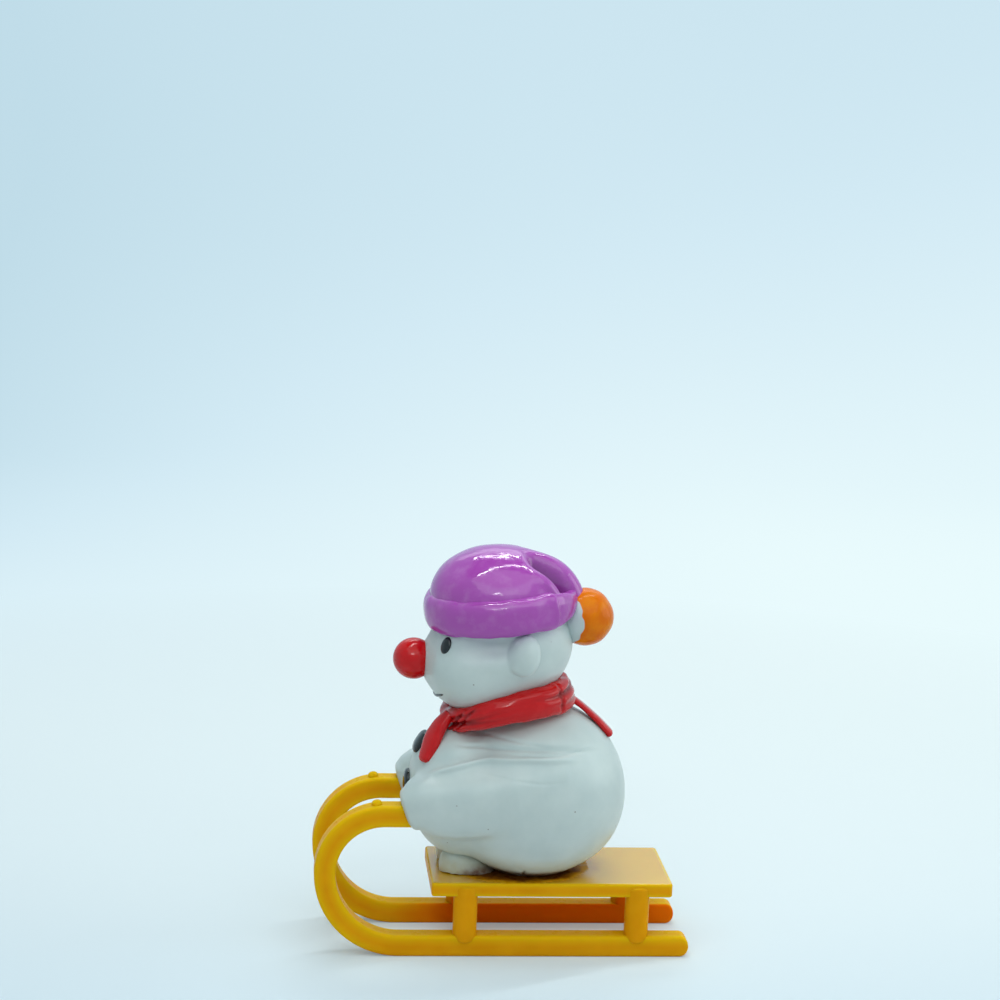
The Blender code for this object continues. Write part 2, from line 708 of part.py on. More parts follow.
def build_feet(white, trunk_grown):
    """Two stub feet on the deck, with their toes ahead of the trunk."""
    trunk_front = front_at(TRUNK, SEAT_HEIGHT + FOOT_HEIGHT / 4)
    foot_x = trunk_front - FOOT_PROUD + FOOT_LENGTH / 2
    sizes = (FOOT_LENGTH, FOOT_WIDTH, FOOT_HEIGHT)
    for side_name, side in SIDES:
        place = Vector((foot_x, side * FOOT_SPACING / 2, SEAT_HEIGHT - FOOT_SINK))
        foot = boss(f"foot_{side_name}", place, (0, 0, 1), (1, 0, 0), *sizes, white)
        keep_above(foot, (0, 0, SEAT_HEIGHT))
        cut(foot, trunk_grown)


def main():
    clear_scene()
    yellow = plastic("sled_yellow", (0.72, 0.38, 0.01), 0.32)
    white = plastic("snow_white", (0.72, 0.78, 0.78), 0.38)
    red = plastic("scarf_red", (0.60, 0.01, 0.02), 0.2)
    purple = plastic("hat_purple", (0.36, 0.08, 0.46), 0.22)
    orange = plastic("pompom_orange", (0.80, 0.25, 0.01), 0.22)
    black = plastic("coal_black", (0.01, 0.02, 0.02), 0.25)
    build_sled(yellow)
    trunk_grown = build_trunk(white, black)
    head_grown = build_head(white, black, red, trunk_grown)
    build_hat(purple, orange, head_grown)
    build_scarf(red, trunk_grown, head_grown)
    build_arms(white, trunk_grown)
    build_feet(white, trunk_grown)


main()
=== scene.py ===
# %% [markdown]
# # A toy snow sled with a snowman on it
#
# The real thing is a small collectible toy, about six centimetres tall. A yellow sled is pressed
# together from a flat deck and two side frames, and a white snowman, moulded in one piece and painted
# by hand, sits on it and holds the two horns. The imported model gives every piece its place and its
# room. This file gives them their looks.
#
# The plan is to work out each form as one smooth surface with numpy, because moulded plastic has no
# seams to hide. First come the tools that turn a formula into a mesh, then the plastics and paints,
# then the sled, the figure, and at the end the light and the camera.

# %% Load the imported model
import math

import bpy
import numpy as np
from mathutils import Matrix, Vector


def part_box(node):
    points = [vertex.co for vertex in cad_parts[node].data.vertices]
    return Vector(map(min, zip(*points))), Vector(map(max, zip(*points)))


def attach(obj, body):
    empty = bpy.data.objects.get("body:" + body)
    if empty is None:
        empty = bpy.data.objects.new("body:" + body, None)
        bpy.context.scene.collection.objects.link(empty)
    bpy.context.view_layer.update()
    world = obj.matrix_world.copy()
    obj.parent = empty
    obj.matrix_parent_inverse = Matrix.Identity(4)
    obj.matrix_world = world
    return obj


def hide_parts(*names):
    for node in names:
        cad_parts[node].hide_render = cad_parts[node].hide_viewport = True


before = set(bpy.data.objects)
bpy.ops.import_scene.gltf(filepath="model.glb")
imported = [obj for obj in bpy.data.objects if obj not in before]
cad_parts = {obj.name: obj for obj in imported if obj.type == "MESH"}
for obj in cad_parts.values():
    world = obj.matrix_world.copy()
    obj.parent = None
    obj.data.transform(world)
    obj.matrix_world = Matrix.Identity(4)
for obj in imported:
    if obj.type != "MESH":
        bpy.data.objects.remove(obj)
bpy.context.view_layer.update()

# %% [markdown]
# ## Measures
#
# The pieces are small, so every size below is in millimetres, and only the last step before a mesh
# turns them into metres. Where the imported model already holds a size, it is read from there instead of
# being typed again. The belly is an egg that reaches the trunk's back and top, tucked in at the seat.

# %% Read the frame in millimetres
MM = 0.001


def box_mm(node):
    """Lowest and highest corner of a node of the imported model, in millimetres."""
    low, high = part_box(node)
    return np.array(low) / MM, np.array(high) / MM


bar_low, bar_high = box_mm("runner_left")
right_low, right_high = box_mm("runner_right")
deck_low, deck_high = box_mm("deck")
trunk_low, trunk_high = box_mm("trunk")
head_high = box_mm("head")[1]
BAR = bar_high[1] - bar_low[1]
BAR_Y = (right_low[1] + right_high[1]) / 2
SEAT = trunk_low[2]
SEAT_TUCK = 0.28
BELLY_HALF = np.array([14.1, 13.0, 14.1])
BELLY = np.array([trunk_high[0] - BELLY_HALF[0], 0, trunk_high[2] - BELLY_HALF[2]])
print("bar", round(BAR, 2), "at", round(BAR_Y, 2), "deck top", round(deck_high[2], 2))
print("seat", round(SEAT, 2), "belly", BELLY.round(2))

# %% [markdown]
# ## From a formula to a mesh
#
# A surface here is always a grid of points: rows run along the piece and columns run round it. The
# grid could be filled in with loops over vertices, but numpy works out whole arrays at once, which is
# shorter and much faster. Each end of the grid is closed with a fan to the middle of its last ring, so
# that every piece is a closed solid.

# %% Grid to mesh
FIGURE_BODY = "snowman"
SLED_BODY = "sled"
SHARP_ANGLE = 38.0


def outward(faces, points):
    """Whether faces look out: then the volume they close, summed over corner pyramids, is positive."""
    a, b, c, d = (points[faces[:, i]] for i in range(4))
    volume = np.einsum("ij,ij->", a, np.cross(b, c)) + np.einsum("ij,ij->", a, np.cross(c, d))
    return volume > 0


def surface(name, grid, material, body, nodes=(), ring=False, sharp=SHARP_ANGLE, painted_light_share=None):
    """A closed mesh from a grid of points, rows by columns by XYZ in millimetres.

    Each quad joins a point, its neighbour round the row and the same two in the next row. With ring,
    the last row joins the first. Otherwise both end rows are closed with triangles to their mean. The
    painted light share is a share for each point that the material reads: on the yellow plastic it is
    painted edge light, full at an edge where light bleeds through, and on paint it is painted shade,
    full in a fold.
    """
    rows, columns = grid.shape[:2]
    index = np.arange(rows * columns).reshape(rows, columns)
    beside = np.roll(index, -1, axis=1)
    lower, upper = (index, beside), (np.roll(index, -1, axis=0), np.roll(beside, -1, axis=0))
    last = rows if ring else rows - 1
    quads = np.stack([lower[0], lower[1], upper[1], upper[0]], axis=-1)[:last].reshape(-1, 4)
    points = grid.reshape(-1, 3)
    flip = not outward(quads, points)
    faces = quads[:, ::-1].tolist() if flip else quads.tolist()
    if not ring:
        points = np.vstack([points, grid[0].mean(axis=0), grid[-1].mean(axis=0)])
        foot, crown = rows * columns, rows * columns + 1
        foot_fan = np.stack([beside[0], index[0], np.full(columns, foot)], axis=-1)
        crown_fan = np.stack([index[-1], beside[-1], np.full(columns, crown)], axis=-1)
        fans = np.vstack([foot_fan, crown_fan])
        faces += fans[:, ::-1].tolist() if flip else fans.tolist()
    mesh = bpy.data.meshes.new(name)
    mesh.from_pydata((points * MM).tolist(), [], faces)
    mesh.materials.append(material)
    if painted_light_share is not None:
        values = mesh.attributes.new("painted_light_share", "FLOAT", "POINT")
        shares = np.zeros(len(points), np.float32)
        shares[: rows * columns] = np.ravel(painted_light_share)
        values.data.foreach_set("value", shares)
    mesh.shade_smooth()
    mesh.set_sharp_from_angle(angle=math.radians(sharp))
    piece = bpy.data.objects.new(name, mesh)
    bpy.context.scene.collection.objects.link(piece)
    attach(piece, body)
    if nodes:
        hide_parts(*nodes)
    print(name, rows, "x", columns, "points", len(faces), "faces")
    return piece


# %% [markdown]
# ## Rounded forms from distances
#
# The figure was modelled in one lump of wax, so its parts run into each other. Separate spheres would
# show hard seams. Instead each lump is an egg with a formula for how far a point lies from its skin,
# and two lumps are melted with a soft minimum of their distances. Rays from the middle of the lump are
# then walked inwards until they meet the skin, which gives the grid of points.


# %% Distances
def egg(points, middle, half, turn=None):
    """Distance from an egg's skin, below zero inside: k (k - 1) / g.

    k is the length of the point over the half sizes, and g its length over their squares.
    """
    offset = points - np.asarray(middle, float)
    if turn is not None:
        offset = offset @ turn
    half = np.asarray(half, float)
    scaled = np.linalg.norm(offset / half, axis=-1)
    slope = np.linalg.norm(offset / half**2, axis=-1)
    return scaled * (scaled - 1) / np.maximum(slope, 1e-9)


def melt(first, second, width):
    """The smaller of two distances, with a fillet where they differ by less than a width."""
    share = np.clip(0.5 + 0.5 * (second - first) / width, 0, 1)
    return second + (first - second) * share - width * share * (1 - share)


def hollow(form, tool, width):
    """A form with a tool's shape taken out, and a soft edge where they meet."""
    return -melt(-form, tool, width)


def ease(values, start, end):
    """0 before start, 1 after end and a smooth S between them: s s (3 - 2 s)."""
    share = np.clip((values - start) / (end - start), 0, 1)
    return share * share * (3 - 2 * share)


def line_on(place, middle, width):
    """A soft line, exp(-d d): 1 on it and 0 a few widths away."""
    return np.exp(-(((place - middle) / width) ** 2))


def folded_sides(points):
    """Points with one half mirrored onto the other by taking |y|, so that one formula serves both."""
    return points * (1, 0, 1) + np.abs(points) * (0, 1, 0)


# %% Rays
NUDGE = 0.05


def way(bearing, climb):
    """Unit vectors from degrees. A bearing is 0 at the front and grows towards the figure's left."""
    b, c = np.radians(bearing), np.radians(climb)
    return np.stack([-np.cos(b) * np.cos(c), -np.sin(b) * np.cos(c), np.sin(c) + 0 * b], axis=-1)


def all_ways(rows, columns):
    """Directions on a grid, from the foot up and all the way round, without the two poles."""
    climb = np.linspace(-90, 90, rows + 2)[1:-1, None]
    bearing = np.linspace(0, 360, columns, endpoint=False)[None]
    return way(bearing, climb)


def radii(field, middle, ways, reach=26.0, steps=64, halvings=14):
    """How far along each direction a form's skin lies: a walk inwards from the reach, then halvings."""
    outside = np.full(ways.shape[:-1], reach)
    inside = np.zeros_like(outside)
    found = np.zeros(outside.shape, bool)
    for step in range(1, steps):
        radius = reach * (1 - step / steps)
        met = (field(middle + ways * radius) < 0) & ~found
        inside[met] = radius
        found |= met
        outside[~found] = radius
    for _ in range(halvings):
        between = (inside + outside) / 2
        within = field(middle + ways * between[..., None]) < 0
        inside = np.where(within, between, inside)
        outside = np.where(within, outside, between)
    return outside


def slope_of(field, points):
    """The way in which a distance grows: its difference over a small nudge along each axis."""
    slopes = [field(points + NUDGE * axis) - field(points - NUDGE * axis) for axis in np.eye(3)]
    return np.stack(slopes, axis=-1)


def skin_points(field, middle, bearing, climb):
    """Points on a form's skin in some directions, and the outward normals there."""
    middle = np.asarray(middle, float)
    ways = way(np.asarray(bearing, float), np.asarray(climb, float))
    points = middle + ways * radii(field, middle, ways)[..., None]
    normals = slope_of(field, points)
    return points, normals / np.linalg.norm(normals, axis=-1, keepdims=True)


def frame_on(normal, along_skin):
    """Three unit vectors as columns: along a skin, across it and out of it."""
    normal = np.asarray(normal, float)
    across = np.cross(normal, along_skin)
    across /= np.linalg.norm(across)
    return np.stack([np.cross(across, normal), across, normal], axis=-1)


def lump(middle, turn, half, rows=28, columns=48, power=2.0):
    """Grid of a turned egg. A power above 2 makes its outline squarer and its face flatter."""
    ways = all_ways(rows, columns)
    size = np.sum(np.abs(ways) ** power, axis=-1, keepdims=True) ** (-1 / power)
    return np.asarray(middle) + (ways * size * np.asarray(half, float)) @ np.asarray(turn).T


def unit_ball(points):
    """Distance from a ball of radius 1, to try the rays on."""
    return egg(points, (0, 0, 0), (1, 1, 1))


print("a unit ball's skin lies at", radii(unit_ball, 0.0, way([0.0], [0.0])))

# %% [markdown]
# ## Sweeps
#
# Bars, bands and straps have one section carried along a path. Blender's curve with a bevel could make
# them, but a grid keeps control of the section at every station, for an end that rounds off or a fold
# that fades.


# %% Sections and sweeps
def oval(count, power=2.0):
    """Unit section: points round a superellipse, |x|^power + |y|^power = 1."""
    angle = np.linspace(0, 2 * np.pi, count, endpoint=False)
    x, y = np.cos(angle), np.sin(angle)
    size = (np.abs(x) ** power + np.abs(y) ** power) ** (-1 / power)
    return np.stack([x * size, y * size], axis=-1)


CORNER_POINTS = 7
FACE_SHARES = np.array([0.1, 0.22, 0.5, 0.78, 0.9])
# Shares of painted edge light round a square section: full on the round corners, less across the flat
# faces.
EDGE_LIGHT_SHARES = np.tile([1.0] * CORNER_POINTS + [0.8, 0.45, 0.0, 0.45, 0.8], 4)


def rounded_box(width, height, radius):
    """Sections with round corners and points on their flat faces, one for each entry of the arrays."""
    quarter = np.linspace(0, np.pi / 2, CORNER_POINTS)
    angle = quarter + np.arange(4)[:, None] * np.pi / 2
    side = np.array([[1, 1], [-1, 1], [-1, -1], [1, -1]])
    width, height, radius = (np.reshape(value, (-1, 1, 1)) for value in (width, height, radius))
    x = side[:, :1] * (width / 2 - radius) + radius * np.cos(angle)
    y = side[:, 1:] * (height / 2 - radius) + radius * np.sin(angle)
    corners = np.stack([x, y], axis=-1)
    start, end = corners[:, :, -1:], np.roll(corners, -1, axis=1)[:, :, :1]
    faces = start + (end - start) * FACE_SHARES[:, None]
    return np.concatenate([corners, faces], axis=2).reshape(len(corners), -1, 2)


def sweep(path, across, upward, sections):
    """Grid of sections carried along a path: point + x times across + y times upward."""
    return path[:, None] + sections[..., :1] * across[:, None] + sections[..., 1:] * upward[:, None]


def along(path):
    """Unit tangents of a path, and each point's distance from its start."""
    tangent = np.gradient(path, axis=0)
    steps = np.linalg.norm(np.diff(path, axis=0), axis=1)
    run = np.concatenate([[0], np.cumsum(steps)])
    return tangent / np.linalg.norm(tangent, axis=1, keepdims=True), run


print("a round section has", len(oval(40)), "points, a square one", len(EDGE_LIGHT_SHARES))

# %% [markdown]
# ## Plastics and paints
#
# Three finishes make up the toy: yellow plastic, white plastic, and brushed paint in four colours.
# Pictures of plastic wrapped on the pieces could show them too, but a pattern that is worked out from
# the place on the piece has no seams and no limit of sharpness. All patterns read Object coordinates,
# so they stay on the piece when it moves. First come helpers that keep the node graphs short.


# %% Material helpers
def finish(name, colour, roughness, **sockets):
    """A Principled material with its constant values set straight on the shader's sockets."""
    material = bpy.data.materials.new(name)
    material.use_nodes = True
    shader = material.node_tree.nodes["Principled BSDF"]
    shader.inputs["Base Color"].default_value = (*colour, 1.0)
    shader.inputs["Roughness"].default_value = roughness
    for socket, value in sockets.items():
        shader.inputs[socket.replace("_", " ")].default_value = value
    return material


def add_node(material, kind, **values):
    """A node of some kind. Values that name an input set it, the others set the node's properties."""
    node = material.node_tree.nodes.new(kind)
    for key, value in values.items():
        label = key.replace("_", " ")
        if label in node.inputs:
            node.inputs[label].default_value = value
        else:
            setattr(node, key, value)
    return node


def link(material, source, target):
    """Joins a node's output to an input."""
    material.node_tree.links.new(source, target)


def use(material, socket, source):
    """Feeds one of the shader's sockets from a node."""
    link(material, source, material.node_tree.nodes["Principled BSDF"].inputs[socket])


def object_place(material):
    """The place on the piece, in the piece's own coordinates in metres."""
    return add_node(material, "ShaderNodeTexCoord").outputs["Object"]


def axes(material, vector):
    """The X, Y and Z of a vector, as three outputs."""
    split = add_node(material, "ShaderNodeSeparateXYZ")
    link(material, vector, split.inputs["Vector"])
    return split.outputs


def reckon(material, operation, first, second=None):
    """One step of arithmetic on values. The second may be a plain number, or left out."""
    node = add_node(material, "ShaderNodeMath", operation=operation)
    link(material, first, node.inputs[0])
    if isinstance(second, float):
        node.inputs[1].default_value = second
    elif second is not None:
        link(material, second, node.inputs[1])
    return node.outputs[0]


def times(material, *values):
    """The product of two values or more."""
    product = values[0]
    for value in values[1:]:
        product = reckon(material, "MULTIPLY", product, value)
    return product


def ranged(material, source, low, high, to_low=0.0, to_high=1.0):
    """A value stretched from one range to another and clamped there."""
    node = add_node(
        material, "ShaderNodeMapRange", From_Min=low, From_Max=high, To_Min=to_low, To_Max=to_high
    )
    link(material, source, node.inputs["Value"])
    return node.outputs["Result"]


def mixed(material, factor, first, second):
    """A colour between two colours. Either may be a plain colour or another node's output."""
    node = add_node(material, "ShaderNodeMix", data_type="RGBA")
    link(material, factor, node.inputs["Factor"])
    for socket, value in (("A", first), ("B", second)):
        colour_input = [i for i in node.inputs if i.name == socket and i.type == "RGBA"][0]
        if isinstance(value, tuple):
            colour_input.default_value = (*value, 1.0)
        else:
            link(material, value, colour_input)
    return [o for o in node.outputs if o.type == "RGBA"][0]


# %% Patterns
NOISE_MIDDLE = (0.3, 0.7)


def noise(material, size_mm, detail=3.0):
    """Soft noise whose lumps are about a size across."""
    node = add_node(material, "ShaderNodeTexNoise", Scale=1 / (size_mm * MM), Detail=detail)
    link(material, object_place(material), node.inputs["Vector"])
    return node.outputs["Fac"]


def patchy(material, size_mm, detail, low, high):
    """Noise whose middle range is stretched between a low and a high value."""
    return ranged(material, noise(material, size_mm, detail), *NOISE_MIDDLE, low, high)


def specks(material, spacing_mm, size_share):
    """1 in small dots scattered at a spacing, and 0 between them."""
    node = add_node(material, "ShaderNodeTexVoronoi", Scale=1 / (spacing_mm * MM), Randomness=1.0)
    link(material, object_place(material), node.inputs["Vector"])
    return ranged(material, node.outputs["Distance"], size_share, size_share * 0.5)


def raise_by(material, height, depth_mm):
    """Bumps a surface by a height pattern of a real depth."""
    node = add_node(material, "ShaderNodeBump", Distance=depth_mm * MM, Strength=1.0)
    link(material, height, node.inputs["Height"])
    use(material, "Normal", node.outputs["Normal"])


def upward(material):
    """1 where a face looks up and 0 elsewhere."""
    normal = add_node(material, "ShaderNodeNewGeometry").outputs["Normal"]
    return ranged(material, axes(material, normal)["Z"], 0.8, 0.98)


# %% [markdown]
# ## Dirt and painted shade round the seat
#
# Where the figure is pressed on the deck, a brown patch lies round its seat and feet: brown dirt, with
# painted contact shade that makes it nearly black at the contact, and rusty at its edge. It could be
# painted on a texture, but an egg-shaped distance from the middle of the seat gives the same soft patch
# to the deck and to the figure at once. A little noise makes its edge wander.

# %% The dirt and painted shade
# Dark brown of the patch, which is dirt and painted contact shade, and the rusty tint of its edge.
GRIME_AND_CONTACT_SHADE = (0.12, 0.03, 0.004)
RUST = (0.50, 0.15, 0.003)
DIRT_AND_SHADE_MIDDLE_X = BELLY[0] - 1.9
DIRT_AND_SHADE_HALF = (9.0, 6.9, 4.0)
DIRT_AND_SHADE_WANDER = 0.09


def from_seat(material):
    """How far out a point lies from the middle of the patch of dirt and painted shade: 1 on its edge,
    give or take the wander.
    """
    seat = add_node(material, "ShaderNodeMapping", vector_type="TEXTURE")
    seat.inputs["Location"].default_value = (DIRT_AND_SHADE_MIDDLE_X * MM, 0, SEAT * MM)
    seat.inputs["Scale"].default_value = [half * MM for half in DIRT_AND_SHADE_HALF]
    link(material, object_place(material), seat.inputs["Vector"])
    length = add_node(material, "ShaderNodeVectorMath", operation="LENGTH")
    link(material, seat.outputs["Vector"], length.inputs[0])
    wander = patchy(material, 2.4, 3.0, -DIRT_AND_SHADE_WANDER, DIRT_AND_SHADE_WANDER)
    return reckon(material, "ADD", length.outputs["Value"], wander)


print("stain round x", round(DIRT_AND_SHADE_MIDDLE_X, 2), "half sizes", DIRT_AND_SHADE_HALF)

# %% [markdown]
# ## Yellow plastic of the sled
#
# The sled is one yellow plastic, slightly translucent. Light that bleeds through makes its edges paler,
# and turns the inner faces of the low bars, which only get light from other yellow faces, deep orange.
# Subsurface scattering alone would need a very fine render to show this, so it is kept light, and the
# light is painted into the colour as tints: edge light by the painted light share, bounce by place on
# the inner faces, and a paler top on faces that look up.
#
# The deck's top came from the mould's polished half and mirrors the pale wall, while everything else is
# satin. How strongly a plastic mirrors is a constant of its shader, so there are two finishes.

# %% Yellow finishes
YELLOW_MEAN = (0.82, 0.38, 0.006)
YELLOW_DEEP = (0.80, 0.345, 0.004)
YELLOW_LIGHT = (0.86, 0.395, 0.006)
# Painted light: a paler yellow for tops that light falls on, a paler one for edges that it bleeds
# through, and a deep orange bounce for the low inner faces.
TOP_LIGHT_TINT = (0.80, 0.47, 0.008)
EDGE_LIGHT_TINT = (0.86, 0.56, 0.006)
INNER_BOUNCE_TINT = (1.0, 0.21, 0.002)
YELLOW_DUST = (0.22, 0.12, 0.05)
INNER_FACE = BAR_Y - BAR / 2


def sled_plastic(name, mirror, ior, smooth, bump_mm):
    """Yellow plastic with flow marks, painted edge light, painted top light, a painted orange bounce on
    the inner faces, dirt with painted contact shade round the seat, and a few dust specks.

    The mirror and the ior set how much it reflects, smooth is its lowest roughness, and the bump is the
    depth of its lumps, almost none on the polished top.
    """
    made = finish(
        name,
        YELLOW_MEAN,
        0.3,
        Subsurface_Weight=0.3,
        Subsurface_Scale=0.0016,
        Subsurface_Radius=(1.0, 0.42, 0.03),
        Specular_IOR_Level=mirror,
        IOR=ior,
    )
    place = axes(made, object_place(made))
    top = upward(made)
    painted_light_share = add_node(made, "ShaderNodeAttribute", attribute_name="painted_light_share").outputs["Fac"]
    flow = ranged(made, noise(made, 5.0, 2.0), 0.35, 0.65)
    base = mixed(made, flow, YELLOW_DEEP, YELLOW_LIGHT)
    # Painted top light on the faces that look up.
    base = mixed(made, times(made, top, 0.8), base, TOP_LIGHT_TINT)
    # Painted edge light where light bleeds through.
    base = mixed(made, times(made, painted_light_share, 0.75), base, EDGE_LIGHT_TINT)
    # Painted bounce: the low inner faces under the deck turn deep orange.
    aside = reckon(made, "ABSOLUTE", place["Y"])
    inner = ranged(made, aside, (INNER_FACE + 0.5) * MM, (INNER_FACE + 0.1) * MM)
    low = ranged(made, place["Z"], 8.0 * MM, 5.0 * MM)
    below_deck = ranged(made, place["X"], -16 * MM, -7 * MM)
    base = mixed(made, times(made, inner, low, below_deck), base, INNER_BOUNCE_TINT)
    # Round the seat, on faces that look up: a rusty edge, then dark brown, which is dirt and painted
    # contact shade.
    fringe = ranged(made, from_seat(made), 1.42, 1.02, 0.0, 0.75)
    base = mixed(made, times(made, fringe, top), base, RUST)
    grime_and_shade = ranged(made, from_seat(made), 1.16, 0.98)
    patches = ranged(made, noise(made, 1.5, 4.0), 0.25, 0.6, 0.6, 1.0)
    base = mixed(made, times(made, grime_and_shade, patches, top), base, GRIME_AND_CONTACT_SHADE)
    dust = times(made, specks(made, 6.0, 0.02), 0.35)
    use(made, "Base Color", mixed(made, dust, base, YELLOW_DUST))
    use(made, "Roughness", patchy(made, 1.3, 3.0, smooth, smooth + 0.12))
    raise_by(made, noise(made, 0.9, 4.0), bump_mm)
    return made


YELLOW = sled_plastic("sled_yellow_plastic", 0.02, 1.5, 0.24, 0.012)
YELLOW_TOP = sled_plastic("sled_yellow_polished", 1.0, 1.85, 0.14, 0.001)
print("yellow finishes", YELLOW.name, YELLOW_TOP.name)

# %% [markdown]
# ## White plastic of the figure
#
# The figure is cast in a satin white plastic, a little blue and faintly cloudy. Dark specks of dirt are
# caught in it. Towards the deck it turns yellow, yellowing with painted bounce from the yellow deck, and
# then dark brown where it meets the deck, dirt with painted contact shade. One material does it all:
# both are mixes by height, and the brown is held back to the ground near the seat.

# %% White finish
WHITE_MEAN = (0.60, 0.72, 0.73)
WHITE_DEEP = (0.57, 0.69, 0.695)
WHITE_LIGHT = (0.63, 0.745, 0.745)
YELLOWING_AND_BOUNCE = (0.56, 0.44, 0.17)
SPECK = (0.16, 0.15, 0.14)


def snow_plastic():
    """Satin white plastic with cloudiness, specks, and a yellow tint and dark brown that grow towards
    the
    seat: yellowing with painted bounce, then dirt with painted contact shade.
    """
    made = finish(
        "snow_white_plastic",
        WHITE_MEAN,
        0.36,
        Subsurface_Weight=0.25,
        Subsurface_Scale=0.0014,
        Subsurface_Radius=(1.0, 0.9, 0.8),
        Specular_IOR_Level=0.55,
    )
    height = axes(made, object_place(made))["Z"]
    base = mixed(made, patchy(made, 4.0, 3.0, 0.0, 1.0), WHITE_DEEP, WHITE_LIGHT)
    # Towards the seat: yellowing with painted bounce from the deck, then dirt with painted contact
    # shade.
    patches = ranged(made, noise(made, 1.5, 4.0), 0.25, 0.6, 0.45, 1.0)
    faint = ranged(made, height, (SEAT + 4.5) * MM, (SEAT + 0.5) * MM, 0.0, 0.5)
    base = mixed(made, times(made, faint, patches), base, YELLOWING_AND_BOUNCE)
    strong = ranged(made, height, (SEAT + 1.7) * MM, (SEAT + 0.4) * MM)
    near_seat = ranged(made, from_seat(made), 1.3, 1.1)
    base = mixed(made, times(made, strong, patches, near_seat), base, GRIME_AND_CONTACT_SHADE)
    dirt = times(made, specks(made, 3.1, 0.05), 0.75)
    use(made, "Base Color", mixed(made, dirt, base, SPECK))
    use(made, "Roughness", patchy(made, 1.1, 3.0, 0.3, 0.44))
    raise_by(made, noise(made, 0.7, 4.0), 0.014)
    return made


WHITE = snow_plastic()
print("white finish", WHITE.name)

# %% [markdown]
# ## Paints
#
# The colours on the figure are brushed on thick, so they are glossier than the plastic and a little
# uneven: paler where the brush left them thin. Their folds are painted darker, as painted shade. A
# plain glossy colour would look like cast plastic, so noise thins the paint and the painted light share
# darkens the folds with painted shade.

# %% Paints
# Painted shade in the folds: how dark it gets, and how strongly it covers.
FOLD_SHADE_LEVEL = 0.35
FOLD_SHADE_STRENGTH = 0.8
PAINT_ROUGHNESS = (0.07, 0.19)
PAINT_LUMPS = 0.05


def paint(name, thick, thin, gloss):
    """Glossy paint laid on by brush: thin in places, with painted shade in its folds, and soft lumps."""
    made = finish(name, thick, 0.2, Specular_IOR_Level=gloss)
    cover = mixed(made, ranged(made, noise(made, 2.2, 4.0), 0.5, 0.8), thick, thin)
    # Painted shade: the folds darken the colour by the painted light share.
    fold_shade = add_node(made, "ShaderNodeAttribute", attribute_name="painted_light_share").outputs["Fac"]
    fold_shade_colour = tuple(FOLD_SHADE_LEVEL * value for value in thick)
    use(made, "Base Color", mixed(made, times(made, fold_shade, FOLD_SHADE_STRENGTH), cover, fold_shade_colour))
    use(made, "Roughness", patchy(made, 0.8, 3.0, *PAINT_ROUGHNESS))
    raise_by(made, noise(made, 1.5, 2.0), PAINT_LUMPS)
    return made


RED = paint("scarf_red_paint", (0.60, 0.005, 0.007), (0.68, 0.012, 0.014), 0.28)
PURPLE = paint("hat_purple_paint", (0.42, 0.07, 0.47), (0.47, 0.13, 0.52), 0.6)
BLACK = paint("coal_black_paint", (0.012, 0.016, 0.018), (0.03, 0.045, 0.05), 0.4)
print("paints", [made.name for made in (RED, PURPLE, BLACK)])

# %% [markdown]
# ## The sled's two bars
#
# Each side of the sled is one square bar: it lies on the ground, loops up at the front and comes back
# as a horn. It is moulded flat, so its section is the same all the way, with slightly rounded edges
# and rounded ends. It could be a Blender curve, but the section has to shrink at the ends, so it is a
# sweep along two arcs and two straight runs, with short steps near both ends.

# %% Bars
LOOP_LOWER_RADIUS = 11.3
LOOP_UPPER_RADIUS = 8.75
HORN_LENGTH = 5.6
BAR_EDGE_ROUND = 0.42
BAR_END_ROUND = 1.3
BAR_END_STEPS = np.array([0.0, 0.02, 0.06, 0.12, 0.2, 0.3, 0.42, 0.56, 0.7, 0.85, 1.0, 1.15, 1.3])
# Heights in millimetres over which the painted edge light on the bars fades in from the ground.
BAR_EDGE_LIGHT_FADE = (0.2, 2.2)
HORN_Z = bar_high[2] - BAR / 2
LOOP_Z = BAR / 2 + LOOP_LOWER_RADIUS
LOWER_X = bar_low[0] + BAR / 2 + LOOP_LOWER_RADIUS
UPPER_X = bar_low[0] + BAR / 2 + LOOP_UPPER_RADIUS
HORN_TIP_X = UPPER_X + HORN_LENGTH


def arc(middle_x, middle_z, radius, start, end, count):
    """Points of an arc in side view, with angles in degrees from the rear towards the top."""
    angle = np.radians(np.linspace(start, end, count))
    return np.stack([middle_x + radius * np.cos(angle), middle_z + radius * np.sin(angle)], axis=-1)


def level(x, z):
    """Points of a straight level run in side view."""
    return np.stack([x, np.full(len(x), z)], axis=-1)


def end_height(distance, height, radius):
    """Height of a bar's section near a round-cornered end, where two quarter circles close in on it."""
    gap = np.clip(radius - distance, 0, radius)
    return height - 2 * (radius - np.sqrt(radius**2 - gap**2))


def bar_path():
    """Middle line of a bar in side view: ground run, lower arc, upper arc, horn."""
    rear = bar_high[0]
    ground_x = np.concatenate([rear - BAR_END_STEPS, np.linspace(rear - 1.6, LOWER_X + 0.3, 130)])
    horn_x = np.linspace(UPPER_X + 0.2, HORN_TIP_X - 1.5, 24)
    horn_x = np.concatenate([horn_x, HORN_TIP_X - BAR_END_STEPS[::-1]])
    lower = arc(LOWER_X, LOOP_Z, LOOP_LOWER_RADIUS, 270, 180, 90)
    upper = arc(UPPER_X, LOOP_Z, LOOP_UPPER_RADIUS, 180, 90, 90)[1:]
    return np.concatenate([level(ground_x, BAR / 2), lower, upper, level(horn_x, HORN_Z)])


